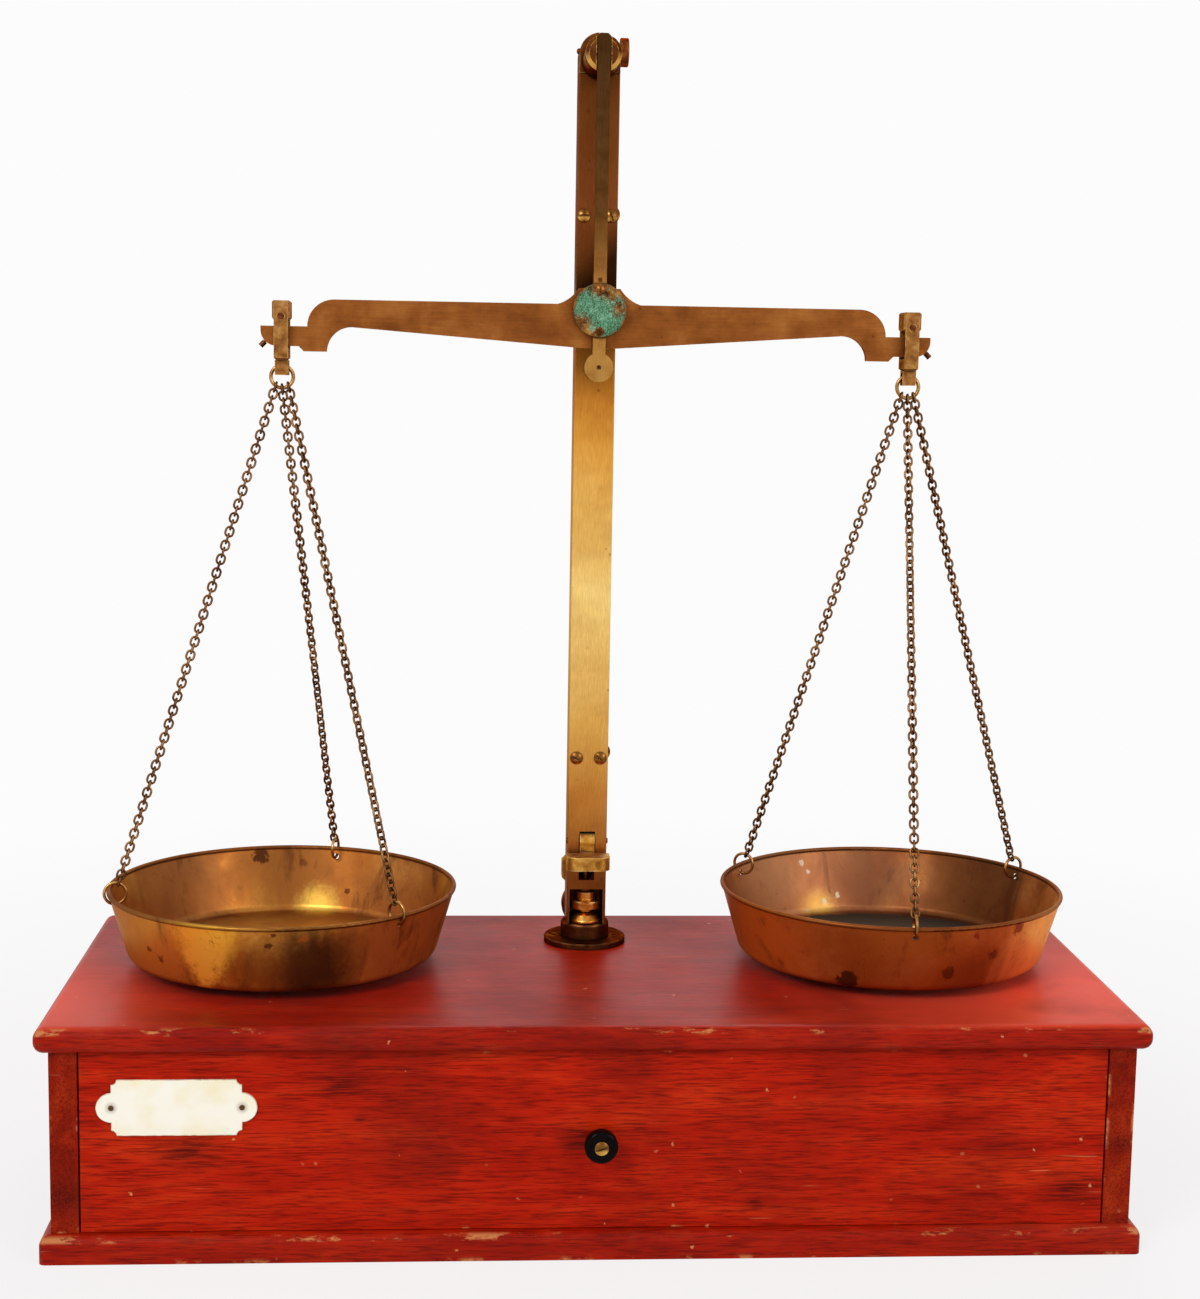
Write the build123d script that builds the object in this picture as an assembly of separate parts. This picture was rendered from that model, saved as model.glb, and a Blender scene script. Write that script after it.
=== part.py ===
from build123d import *
import math
import os

# Equal-arm counter balance on a drawer box, in millimetres.
# Origin: centre of the underside of the box. +X to the right, +Y to the back, +Z up.

# ---------------------------------------------------------------- drawer box
BOX_WIDTH = 508.0            # over the top board
BOX_DEPTH = 203.0            # over the top board
BOX_HEIGHT = 110.0
TOP_BOARD_T = 12.0
TOP_OVERHANG = 6.0           # top board beyond the carcass, all round
TOP_EDGE_RADIUS = 5.0
TOP_CORNER_RADIUS = 3.0
BASE_BOARD_T = 13.0
BASE_OVERHANG = 5.0          # base board beyond the carcass, all round
BASE_EDGE_RADIUS = 5.0
SIDE_PANEL_T = 12.5
BACK_PANEL_T = 8.0

# -------------------------------------------------------------------- drawer
DRAWER_GAP = 0.8             # all round the drawer front
DRAWER_INSET = 0.6           # front face behind the edges of the side panels
DRAWER_FRONT_T = 12.0
DRAWER_SIDE_T = 8.0
DRAWER_SIDE_CLEAR = 1.0      # between drawer sides and side panels
DRAWER_SIDE_HEIGHT = 62.0
DRAWER_BACK_T = 8.0
DRAWER_BOTTOM_T = 4.0
DRAWER_GROOVE_RISE = 5.0     # groove above the lower edge of the sides
DRAWER_GROOVE_DEPTH = 3.0
DRAWER_BACK_CLEAR = 4.0      # between drawer back and back panel, closed
KNOB_DIAMETER = 15.2
KNOB_STEM_DIAMETER = 9.5
KNOB_LENGTH = 12.0
KNOB_FACE_RADIUS = 1.6
KNOB_SCREW_DIAMETER = 3.2
KNOB_SCREW_HEAD_DIAMETER = 6.4
KNOB_SCREW_HEAD_T = 1.3
NAME_PLATE_WIDTH = 58.4      # of the rectangle between the round ends
NAME_PLATE_HEIGHT = 26.0
NAME_PLATE_T = 0.8
NAME_PLATE_END_RADIUS = 6.8
NAME_PLATE_NOTCH_RADIUS = 2.4
NAME_PLATE_LEFT = 27.5       # left side of the carcass to the plate's left end
NAME_PLATE_DROP = 38.3       # plate centre below the upper face of the top board
PLATE_PIN_DIAMETER = 2.4
PLATE_PIN_HEAD_T = 0.7
PLATE_PIN_LENGTH = 8.0

# ------------------------------------------------------------ column and base
COLUMN_SETBACK = 48.0        # column axis behind the middle of the box
COLUMN_WIDTH = 20.0
COLUMN_WALL = 1.5
COLUMN_EDGE_RADIUS = 0.5
COLUMN_TOP = 437.3           # heights from here on are above the top board's face
FLANGE_DIAMETER = 42.0
FLANGE_T = 3.0
DRUM_DIAMETER = 24.8
DRUM_TOP = 11.5
DRUM_EDGE_RADIUS = 2.0
SPIGOT_HEIGHT = 1.0          # square seat inside the foot of the tube
FLANGE_SCREW_DIAMETER = 3.5
FLANGE_SCREW_HEAD_DIAMETER = 6.2
FLANGE_SCREW_LENGTH = 11.0
FLANGE_SCREW_CIRCLE = 33.2
FLANGE_SCREW_ANGLES = (0.0, 90.0, 180.0)
WINDOW_TOP = 29.4            # open front of the tube, round the stop nut
LEVER_SLOT_WIDTH = 8.0
LEVER_SLOT_BOTTOM = 34.2
LEVER_SLOT_TOP = 59.6
GUIDE_HEIGHT = 14.0
GUIDE_CLEAR = 0.05           # guide blocks in the tube
LOWER_GUIDE_CENTRE = 97.8
UPPER_GUIDE_DROP = 68.1      # upper guide's centre below the column's top
LOWER_SCREW_SPREAD = 12.1
UPPER_SCREW_SPREAD = 13.6
SIDE_SCREW_RISE = 1.5        # side screws above the front ones
GUIDE_SCREW_DIAMETER = 2.8
GUIDE_SCREW_LENGTH = 5.0
GUIDE_SCREW_HEAD_DIAMETER = 6.3
GUIDE_SCREW_HEAD_T = 1.8
GUIDE_SCREW_SLOTS = (-25.0, -40.0, 20.0, 3.0, 112.0, 60.0)    # lower front pair, side; upper
SCREW_SLOT_WIDTH = 1.0
SCREW_SLOT_DEPTH = 0.8

# ------------------------------------------------- stop nut and rear clamp knob
STOP_FOOT_DIAMETER = 16.2
STOP_FOOT_RIM = 1.2
STOP_FOOT_HEIGHT = 5.2
STOP_STUD_DIAMETER = 4.0
STOP_STUD_TOP = 25.5
STOP_NECK_DIAMETER = 7.6
STOP_WHEEL_DIAMETER = 16.2
STOP_WHEEL_BOTTOM = 18.7
STOP_WHEEL_T = 4.2
STOP_HUB_DIAMETER = 10.3
STOP_HUB_TOP = 27.2
STOP_HUB_BORE = 7.6
STOP_HUB_BORE_DEPTH = 3.0
STOP_KNURLS = 36
NUT_CLEAR = 0.08             # nut on its stud, radial
REAR_KNOB_HEIGHT = 15.0
REAR_KNOB_DIAMETER = 22.6
REAR_KNOB_T = 8.0
REAR_KNOB_KNURLS = 32
REAR_HUB_DIAMETER = 6.2
REAR_HUB_LENGTH = 3.4
REAR_SCREW_DIAMETER = 3.5
KNURL_DEPTH = 0.45
PIECE_GAP = 0.3              # running gap between pieces of different bodies

# --------------------------------------------------------------------- lever
PIVOT_HEIGHT = 54.5
PIVOT_INSET = 2.0            # pivot behind the column's front face
PIVOT_PIN_DIAMETER = 3.0
PIVOT_PIN_PROUD = 0.7
PIVOT_CLEAR = 0.04           # lever on its pin, radial
LEVER_BARREL_RADIUS = 4.35
LEVER_ARM_WIDTH = 7.4
THUMB_WIDTH = 22.0
THUMB_TOP_DROP = 5.0         # thumb plate's upper face below the pivot
THUMB_T = 6.9
THUMB_REACH = 18.5           # front edge ahead of the pivot
THUMB_REAR = 6.5             # rear edge ahead of the pivot
THUMB_CORNER_RADIUS = 5.0
THUMB_REAR_CHAMFER = 3.0
TAIL_WIDTH = 23.0
TAIL_BOTTOM_DROP = 27.0      # below the pivot
TAIL_HEIGHT = 13.6
TAIL_T = 8.0
TAIL_GAP = 2.5               # tail block behind the column
TAIL_CHAMFER = 2.6
ARM_REAR_DEPTH = 9.0         # arm's depth where it meets the tail block
LIFT_NOSE_RADIUS = 2.0
ROD_SLOT_CLEAR = 0.3
LEVER_TRAVEL = 19.0          # degrees

# ---------------------------------------------------------- lift rod and head
ROD_DIAMETER = 4.0
ROD_CLEAR = 0.08             # rod in its guides, radial
ROD_BUTTON_DIAMETER = 9.4
ROD_BUTTON_T = 2.0
COLLAR_DIAMETER = 6.6
COLLAR_T = 4.0
HEAD_HEIGHT = 19.7           # above the column's top
HEAD_SLIT = 1.0
ROD_IN_HEAD = 4.5
CLAMP_RISE = 5.9             # clamp screw above the nose's axis
CLAMP_SCREW_DIAMETER = 3.0
CLAMP_TIP_PROUD = 1.0
CLAMP_KNOB_DIAMETER = 14.0
CLAMP_KNOB_T = 4.2
CLAMP_KNOB_KNURLS = 28
NOSE_RISE = 6.0              # nose's axis above the column's top
NOSE_DIAMETER = 17.4
NOSE_LENGTH = 30.0           # ahead of the column's front face
NOSE_CHAMFER = 1.7
NOSE_SHANK_DIAMETER = 7.6

# -------------------------------------------------------------------- hanger
HANGER_LENGTH = 121.0        # nose's axis to the centre of the round cover
STRAP_WIDTH = 6.2
STRAP_T = 2.5
STRAP_HEAD = 9.1             # strap's top above the nose's axis
STRAP_CHAMFER = 1.2
STRAP_SIDE_CLEAR = 0.45
STRAP_PIN_DIAMETER = 1.6
EYE_DIAMETER = 24.6
COVER_DIAMETER = 26.0
COVER_T = 1.6
COVER_EDGE_RADIUS = 0.5
COVER_SCREW_OFFSET = 10.0
COVER_SCREW_HEAD_DIAMETER = 4.0
COVER_SCREW_HEAD_T = 0.9
COVER_SCREW_DIAMETER = 2.0
BOB_DROP = 27.2              # bob below the bearing's centre
BOB_DIAMETER = 14.0
BOB_SPACER_DIAMETER = 9.0
BOB_SCREW_DIAMETER = 2.4
REAR_PLATE_T = 2.0
SHACKLE_SPACER_BOTTOM = 11.6  # above the bearing's centre
SHACKLE_SPACER_HEIGHT = 6.0
SHACKLE_RIVET_DIAMETER = 2.4
BEARING_WINDOW_WIDTH = 8.0
BEARING_WINDOW_TOP = 2.0
BEARING_BLOCK_DEPTH = 2.2    # under the knife edge
BEARING_BLOCK_RISE = 2.0     # above the knife edge
BEARING_V_HALF_ANGLE = 50.0

# ---------------------------------------------------------------------- beam
BEAM_ARM = 152.4             # centre knife to end knife
BEAM_T = 3.5
BEAM_SIDE_CLEAR = 0.9        # beam to the plates on either side
CENTRE_KNIFE_DROP = 6.2      # centre knife edge below the bearing's centre
END_KNIFE_DROP = 7.2         # end knife edges below the bearing's centre
KNIFE_HEIGHT = 6.6
KNIFE_HALF_WIDTH = 2.8
KNIFE_CLEAR = 0.05
HUB_HALF_WIDTH = 10.0
HUB_RISE = 10.65
HUB_FLARE = 10.0             # from the shoulder to the arm's straight top
HUB_DROP = 18.0
HUB_FLAT = 8.0
ARM_RISE = 3.0
TIP_TOP_DROP = 10.0
TIP_BOTTOM_DROP = 19.5
TIP_OVERHANG = 10.1          # tip beyond the end knife
TIP_RADIUS = 7.5
NECK_OUTSIDE = 12.1          # neck's outer face inward of the end knife
FOOT_DROP = 21.9
FOOT_OUTSIDE = 10.4          # foot's outer corner inward of the end knife
FOOT_WIDTH = 11.0
TIP_SCREW_HEAD_DIAMETER = 2.6
TIP_SCREW_HEAD_T = 3.0
TIP_SCREW_DIAMETER = 1.4
TIP_SCREW_LENGTH = 3.0
TIP_SCREW_ANGLE = 45.0

# ------------------------------------------------------------------ stirrups
STIRRUP_DEPTH = 14.5
STIRRUP_BAR_T = 1.8
STIRRUP_BAR_WIDTH = 6.8
STIRRUP_TOP_WIDTH = 8.5
STIRRUP_TOP_RISE = 9.2       # above the end knife edge
STIRRUP_TOP_GAP = 0.2
STIRRUP_WINDOW_DROP = 13.5
STIRRUP_BLOCK_DROP = 19.0
STIRRUP_CHAMFER = 1.0
EYE_BLOCK_WIDTH = 6.6
EYE_BLOCK_DEPTH = 6.0
EYE_BLOCK_DROP = 26.2
EYE_HOLE_RADIUS = 2.05
EYE_HOLE_DROP = 22.2
BEARING_PIN_DIAMETER = 3.4

# ---------------------------------------------------- rings, chains and pans
BIG_RING_DIAMETER = 12.5
BIG_RING_WIRE = 1.8
CHAIN_SPREAD = 3.1           # between the chains where they hook on the big ring
LINK_LENGTH = 5.85
LINK_WIDTH = 4.8
LINK_WIRE = 1.1
LINK_SLACK = 0.15            # gap from wire to wire
PAN_RING_DIAMETER = 12.0
PAN_RING_WIRE = 1.5
PAN_DIAMETER = 171.5
PAN_BASE_DIAMETER = 150.0
PAN_HEIGHT = 34.0
PAN_WALL = 0.8
PAN_CORNER_RADIUS = 5.0
PAN_BEAD_DIAMETER = 2.2
PAN_HOLE_DROP = 5.0
PAN_HOLE_DIAMETER = 3.0
PAN_CLEAR = 4.5              # pans above the box at rest
LEFT_PAN_ANGLES = (195.0, 75.0, 315.0)    # chain holes, left to right
RIGHT_PAN_ANGLES = (147.0, 267.0, 27.0)

# ------------------------------------------------------------ derived places
TOP_Z = BOX_HEIGHT
UNDER_TOP_Z = BOX_HEIGHT - TOP_BOARD_T
CARCASS_X = BOX_WIDTH / 2 - TOP_OVERHANG
CARCASS_Y = BOX_DEPTH / 2 - TOP_OVERHANG
OPENING_X = CARCASS_X - SIDE_PANEL_T
COLUMN_Y = COLUMN_SETBACK
COLUMN_FRONT_Y = COLUMN_Y - COLUMN_WIDTH / 2
COLUMN_BACK_Y = COLUMN_Y + COLUMN_WIDTH / 2
COLUMN_BORE = COLUMN_WIDTH - 2 * COLUMN_WALL
UPPER_GUIDE_CENTRE = COLUMN_TOP - UPPER_GUIDE_DROP
# The stop nut's foot stands forward, its rim over the rim of the drum.
STOP_Y = COLUMN_Y - (DRUM_DIAMETER - STOP_FOOT_DIAMETER) / 2
PIVOT_Y = COLUMN_FRONT_Y + PIVOT_INSET
PIVOT_Z = TOP_Z + PIVOT_HEIGHT
NOSE_FRONT_Y = COLUMN_FRONT_Y - NOSE_LENGTH
STRAP_BACK_Y = NOSE_FRONT_Y + STRAP_T
BEAM_FRONT_Y = STRAP_BACK_Y + BEAM_SIDE_CLEAR
BEAM_Y = BEAM_FRONT_Y + BEAM_T / 2
REAR_PLATE_Y = BEAM_FRONT_Y + BEAM_T + BEAM_SIDE_CLEAR
NOSE_HEIGHT = COLUMN_TOP + NOSE_RISE
CLAMP_HEIGHT = NOSE_HEIGHT + CLAMP_RISE
BEARING_Z = TOP_Z + NOSE_HEIGHT - HANGER_LENGTH
CENTRE_KNIFE_Z = BEARING_Z - CENTRE_KNIFE_DROP
END_KNIFE_Z = BEARING_Z - END_KNIFE_DROP
# The lever's nose is under the rod's collar, THUMB_TOP_DROP below the pivot at rest.
ROD_REACH = COLUMN_Y - PIVOT_Y
COLLAR_Z = PIVOT_Z - THUMB_TOP_DROP + PIECE_GAP


def box_between(x0, x1, y0, y1, z0, z1):
    """A block given by its six faces."""
    centre = ((x0 + x1) / 2, (y0 + y1) / 2, (z0 + z1) / 2)
    return Pos(*centre) * Box(x1 - x0, y1 - y0, z1 - z0)


def cylinder_x(radius, x0, x1, y, z):
    return Pos((x0 + x1) / 2, y, z) * Rot(0, 90, 0) * Cylinder(radius, x1 - x0)


def cylinder_y(radius, y0, y1, x, z):
    return Pos(x, (y0 + y1) / 2, z) * Rot(90, 0, 0) * Cylinder(radius, y1 - y0)


def cylinder_z(radius, z0, z1, x, y):
    return Pos(x, y, (z0 + z1) / 2) * Cylinder(radius, z1 - z0)


def front_plate(sketch, y_front, thickness):
    """A plate with its outline in X and Z, from y_front to the back."""
    plane = Plane(origin=(0, y_front, 0), x_dir=(1, 0, 0), z_dir=(0, -1, 0))
    return extrude(plane * sketch, amount=-thickness)


def side_plate(sketch, width):
    """A plate with its outline in Y and Z, centred on X = 0."""
    return extrude(Plane.YZ * sketch, amount=width / 2, both=True)


def turned(points):
    """A solid turned about Z from (radius, height) points."""
    outline = make_face(Plane.XZ * Polyline(*points, close=True))
    return revolve(outline, Axis.Z)


def slotted_head(diameter, thickness, slot_angle):
    """A domed, slotted screw head: seat at Z = 0, top at Z = thickness."""
    rim = thickness * 0.35
    sphere_radius = (diameter**2 / 4 + (thickness - rim) ** 2) / (2 * (thickness - rim))
    dome = Pos(0, 0, thickness - sphere_radius) * Sphere(sphere_radius)
    head = Pos(0, 0, thickness / 2) * Cylinder(diameter / 2, thickness) & dome
    slot_depth = min(SCREW_SLOT_DEPTH, thickness * 0.6)
    slot = Box(diameter * 1.2, min(SCREW_SLOT_WIDTH, diameter / 4), 2 * slot_depth)
    return head - Pos(0, 0, thickness) * Rot(0, 0, slot_angle) * slot


def slotted_screw(diameter, length, head_diameter, head_t, slot_angle):
    """Head up, shank from Z = 0 down."""
    shank = Pos(0, 0, -length / 2) * Cylinder(diameter / 2, length)
    return slotted_head(head_diameter, head_t, slot_angle) + shank


def knurled_disc(diameter, thickness, knurls, chamfer_size):
    """A disc about Z with a straight-knurled rim, from Z = 0 up."""
    disc = Pos(0, 0, thickness / 2) * Cylinder(diameter / 2, thickness)
    disc = chamfer(disc.edges().filter_by(GeomType.CIRCLE), chamfer_size)
    half_groove = math.pi * diameter / knurls / 3
    groove = extrude(
        Polygon((KNURL_DEPTH, half_groove), (KNURL_DEPTH, -half_groove), (-KNURL_DEPTH, 0), align=None),
        amount=thickness,
    )
    return disc - [
        Rot(0, 0, 360 * i / knurls) * Pos(diameter / 2, 0, 0) * groove for i in range(knurls)
    ]


# ------------------------------------------------------------------ the box
def rounded_board(width, depth, z0, z1, edge_radius, both_edges):
    """A board with its long edges rounded, above only or above and below."""
    board = box_between(-width / 2, width / 2, -depth / 2, depth / 2, z0, z1)
    board = fillet(board.edges().filter_by(Axis.Z), TOP_CORNER_RADIUS)
    rims = board.faces().sort_by(Axis.Z)[-1].edges()
    if both_edges:
        rims += board.faces().sort_by(Axis.Z)[0].edges()
    return fillet(rims, edge_radius)


def top_board():
    board = rounded_board(BOX_WIDTH, BOX_DEPTH, UNDER_TOP_Z, TOP_Z, TOP_EDGE_RADIUS, True)
    screws = [
        Pos(x, y, 0) * cylinder_z(FLANGE_SCREW_DIAMETER / 2, flange_screw_tip(), TOP_Z, 0, 0)
        for x, y in flange_screw_places()
    ]
    return board - screws


def base_board():
    width = 2 * (CARCASS_X + BASE_OVERHANG)
    depth = 2 * (CARCASS_Y + BASE_OVERHANG)
    return rounded_board(width, depth, 0, BASE_BOARD_T, BASE_EDGE_RADIUS, False)


def side_panel(side):
    inner, outer = sorted((side * OPENING_X, side * CARCASS_X))
    return box_between(inner, outer, -CARCASS_Y, CARCASS_Y, BASE_BOARD_T, UNDER_TOP_Z)


def back_panel():
    front = CARCASS_Y - BACK_PANEL_T
    return box_between(-OPENING_X, OPENING_X, front, CARCASS_Y, BASE_BOARD_T, UNDER_TOP_Z)


# --------------------------------------------------------------- the drawer
DRAWER_FRONT_Y = -CARCASS_Y + DRAWER_INSET
DRAWER_BACK_Y = CARCASS_Y - BACK_PANEL_T - DRAWER_BACK_CLEAR
DRAWER_FRONT_X = OPENING_X - DRAWER_GAP
DRAWER_SIDE_X = OPENING_X - DRAWER_SIDE_CLEAR
DRAWER_BOTTOM_Z = BASE_BOARD_T + PIECE_GAP
DRAWER_FRONT_TOP_Z = UNDER_TOP_Z - DRAWER_GAP
DRAWER_SIDE_TOP_Z = DRAWER_BOTTOM_Z + DRAWER_SIDE_HEIGHT
DRAWER_PANEL_Z = DRAWER_BOTTOM_Z + DRAWER_GROOVE_RISE
KNOB_Z = (BASE_BOARD_T + UNDER_TOP_Z) / 2
KNOB_FACE_Y = DRAWER_FRONT_Y - KNOB_LENGTH
SIDES_FRONT_Y = DRAWER_FRONT_Y + DRAWER_FRONT_T
PLATE_PIN_TIP_Y = DRAWER_FRONT_Y - NAME_PLATE_T + PLATE_PIN_LENGTH


def drawer_bottom():
    """The thin panel that slides into the grooves of the front and sides."""
    half_width = DRAWER_SIDE_X - DRAWER_SIDE_T + DRAWER_GROOVE_DEPTH
    front = SIDES_FRONT_Y - DRAWER_GROOVE_DEPTH
    top = DRAWER_PANEL_Z + DRAWER_BOTTOM_T
    return box_between(-half_width, half_width, front, DRAWER_BACK_Y, DRAWER_PANEL_Z, top)


def drawer_front():
    front = box_between(
        -DRAWER_FRONT_X, DRAWER_FRONT_X, DRAWER_FRONT_Y, SIDES_FRONT_Y, DRAWER_BOTTOM_Z, DRAWER_FRONT_TOP_Z
    )
    screw_hole = cylinder_y(KNOB_SCREW_DIAMETER / 2, DRAWER_FRONT_Y, SIDES_FRONT_Y, 0, KNOB_Z)
    pins = [
        cylinder_y(PLATE_PIN_DIAMETER / 4, DRAWER_FRONT_Y, PLATE_PIN_TIP_Y, x, name_plate_z())
        for x in plate_pin_xs()
    ]
    return front - drawer_bottom() - screw_hole - pins


def drawer_side(side):
    inner, outer = sorted((side * (DRAWER_SIDE_X - DRAWER_SIDE_T), side * DRAWER_SIDE_X))
    panel = box_between(inner, outer, SIDES_FRONT_Y, DRAWER_BACK_Y, DRAWER_BOTTOM_Z, DRAWER_SIDE_TOP_Z)
    return panel - drawer_bottom()


def drawer_back():
    half_width = DRAWER_SIDE_X - DRAWER_SIDE_T
    front = DRAWER_BACK_Y - DRAWER_BACK_T
    bottom = DRAWER_PANEL_Z + DRAWER_BOTTOM_T
    return box_between(-half_width, half_width, front, DRAWER_BACK_Y, bottom, DRAWER_SIDE_TOP_Z)


def drawer_knob():
    """A black turned knob that narrows to its stem, bored for its screw."""
    radius = KNOB_DIAMETER / 2
    stem = KNOB_STEM_DIAMETER / 2
    bore = KNOB_SCREW_DIAMETER / 2
    shoulder = KNOB_LENGTH * 0.6
    knob = turned([(bore, 0), (stem, 0), (radius, shoulder), (radius, KNOB_LENGTH), (bore, KNOB_LENGTH)])
    rim = knob.edges().filter_by(GeomType.CIRCLE).sort_by(SortBy.RADIUS)[-2:].sort_by(Axis.Z)[-1]
    knob = fillet(rim, KNOB_FACE_RADIUS)
    return Pos(0, DRAWER_FRONT_Y, KNOB_Z) * Rot(90, 0, 0) * knob


def knob_screw():
    length = SIDES_FRONT_Y - KNOB_FACE_Y
    screw = slotted_screw(KNOB_SCREW_DIAMETER, length, KNOB_SCREW_HEAD_DIAMETER, KNOB_SCREW_HEAD_T, 20)
    return Pos(0, KNOB_FACE_Y, KNOB_Z) * Rot(90, 0, 0) * screw


def name_plate_x():
    return -CARCASS_X + NAME_PLATE_LEFT + NAME_PLATE_WIDTH / 2


def name_plate_z():
    return TOP_Z - NAME_PLATE_DROP


def plate_pin_xs():
    return [name_plate_x() + side * NAME_PLATE_WIDTH / 2 for side in (-1, 1)]


def name_plate():
    """A bare plate with hollowed corners and a round ear at each end for its pin."""
    outline = Rectangle(NAME_PLATE_WIDTH, NAME_PLATE_HEIGHT)
    for side in (-1, 1):
        outline += Pos(side * NAME_PLATE_WIDTH / 2, 0) * Circle(NAME_PLATE_END_RADIUS)
        for end in (-1, 1):
            corner = Pos(side * NAME_PLATE_WIDTH / 2, end * NAME_PLATE_HEIGHT / 2)
            outline -= corner * Circle(NAME_PLATE_NOTCH_RADIUS)
        outline -= Pos(side * NAME_PLATE_WIDTH / 2, 0) * Circle(PLATE_PIN_DIAMETER / 4)
    placed = Pos(name_plate_x(), name_plate_z()) * outline
    return front_plate(placed, DRAWER_FRONT_Y - NAME_PLATE_T, NAME_PLATE_T)


def name_plate_pins():
    pins = []
    for x in plate_pin_xs():
        pin = Pos(0, 0, PLATE_PIN_HEAD_T / 2) * Cylinder(PLATE_PIN_DIAMETER / 2, PLATE_PIN_HEAD_T)
        pin = fillet(pin.edges().sort_by(Axis.Z)[-1], PLATE_PIN_HEAD_T * 0.6)
        pin += Pos(0, 0, -PLATE_PIN_LENGTH / 2) * Cylinder(PLATE_PIN_DIAMETER / 4, PLATE_PIN_LENGTH)
        pins.append(Pos(x, DRAWER_FRONT_Y - NAME_PLATE_T, name_plate_z()) * Rot(90, 0, 0) * pin)
    return pins


# ------------------------------------------------- flange, drum and column
def flange_screw_places():
    radius = FLANGE_SCREW_CIRCLE / 2
    return [
        (radius * math.cos(math.radians(a)), COLUMN_Y + radius * math.sin(math.radians(a)))
        for a in FLANGE_SCREW_ANGLES
    ]


def flange_screw_tip():
    return TOP_Z + FLANGE_T - FLANGE_SCREW_LENGTH


def countersunk_screw(diameter, length, head_diameter):
    """A flat-headed screw: top of the head at Z = 0, point downwards."""
    head_t = (head_diameter - diameter) / 2
    radius = diameter / 2
    screw = turned(
        [(0, 0), (head_diameter / 2, 0), (radius, -head_t), (radius, radius - length), (0, -length)]
    )
    return screw - Box(head_diameter * 1.2, SCREW_SLOT_WIDTH, SCREW_SLOT_DEPTH)


def column_flange():
    """The turned foot: flange, drum and the square seat that the tube stands round."""
    body = cylinder_z(FLANGE_DIAMETER / 2, 0, FLANGE_T, 0, 0)
    body = chamfer(body.edges().sort_by(Axis.Z)[-1], FLANGE_T / 6)
    drum = cylinder_z(DRUM_DIAMETER / 2, FLANGE_T, DRUM_TOP, 0, 0)
    drum = fillet(drum.edges().sort_by(Axis.Z)[-1], DRUM_EDGE_RADIUS)
    seat = COLUMN_BORE / 2
    spigot = box_between(-seat, seat, -seat, seat, DRUM_TOP, DRUM_TOP + SPIGOT_HEIGHT)
    foot_room = STOP_FOOT_DIAMETER / 2 + PIECE_GAP
    foot_y = STOP_Y - COLUMN_Y
    spigot -= cylinder_z(foot_room, DRUM_TOP, DRUM_TOP + SPIGOT_HEIGHT, 0, foot_y)
    spigot -= box_between(-seat, seat, -seat, foot_y, DRUM_TOP, DRUM_TOP + SPIGOT_HEIGHT)
    body += drum + spigot
    body -= cylinder_z(STOP_STUD_DIAMETER / 2, FLANGE_T, DRUM_TOP, 0, foot_y)
    body = Pos(0, COLUMN_Y, TOP_Z) * body
    for x, y in flange_screw_places():
        body -= cylinder_z(FLANGE_SCREW_DIAMETER / 2, TOP_Z, TOP_Z + FLANGE_T, x, y)
        sink = (FLANGE_SCREW_HEAD_DIAMETER - FLANGE_SCREW_DIAMETER) / 2
        cone = Cone(FLANGE_SCREW_DIAMETER / 2, FLANGE_SCREW_HEAD_DIAMETER / 2, sink)
        body -= Pos(x, y, TOP_Z + FLANGE_T - sink / 2) * cone
    return body


def flange_screws():
    return [
        Pos(x, y, TOP_Z + FLANGE_T)
        * Rot(0, 0, 25 + 50 * i)
        * countersunk_screw(FLANGE_SCREW_DIAMETER, FLANGE_SCREW_LENGTH, FLANGE_SCREW_HEAD_DIAMETER)
        for i, (x, y) in enumerate(flange_screw_places())
    ]


def guide_screw_places():
    """Seat point and direction of each guide screw: the front pairs and the right-hand side ones."""
    places = []
    lower = (LOWER_GUIDE_CENTRE, LOWER_SCREW_SPREAD)
    upper = (UPPER_GUIDE_CENTRE, UPPER_SCREW_SPREAD)
    for centre, spread in (lower, upper):
        for side in (-1, 1):
            places.append(Pos(side * spread / 2, COLUMN_FRONT_Y, TOP_Z + centre) * Rot(90, 0, 0))
        side_z = TOP_Z + centre + SIDE_SCREW_RISE
        places.append(Pos(COLUMN_WIDTH / 2, COLUMN_Y, side_z) * Rot(0, 90, 0))
    return places


def guide_screw_holes():
    hole = Pos(0, 0, -GUIDE_SCREW_LENGTH / 2) * Cylinder(GUIDE_SCREW_DIAMETER / 2, GUIDE_SCREW_LENGTH)
    return [place * hole for place in guide_screw_places()]


def guide_screws():
    screws = []
    for place, slot_angle in zip(guide_screw_places(), GUIDE_SCREW_SLOTS):
        screw = slotted_screw(
            GUIDE_SCREW_DIAMETER,
            GUIDE_SCREW_LENGTH,
            GUIDE_SCREW_HEAD_DIAMETER,
            GUIDE_SCREW_HEAD_T,
            slot_angle,
        )
        screws.append(place * screw)
    return screws


def tail_slot_heights():
    """Lowest and highest place of the arm inside the rear wall, over the lever's travel."""
    angle = math.radians(LEVER_TRAVEL)
    highest = -THUMB_TOP_DROP - LIFT_NOSE_RADIUS - PIECE_GAP
    swept = ARM_REAR_TOP * math.cos(angle) + TAIL_FRONT * math.sin(angle)
    return PIVOT_Z - TAIL_BOTTOM_DROP, PIVOT_Z + max(highest, swept) + LEVER_BARREL_RADIUS


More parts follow.
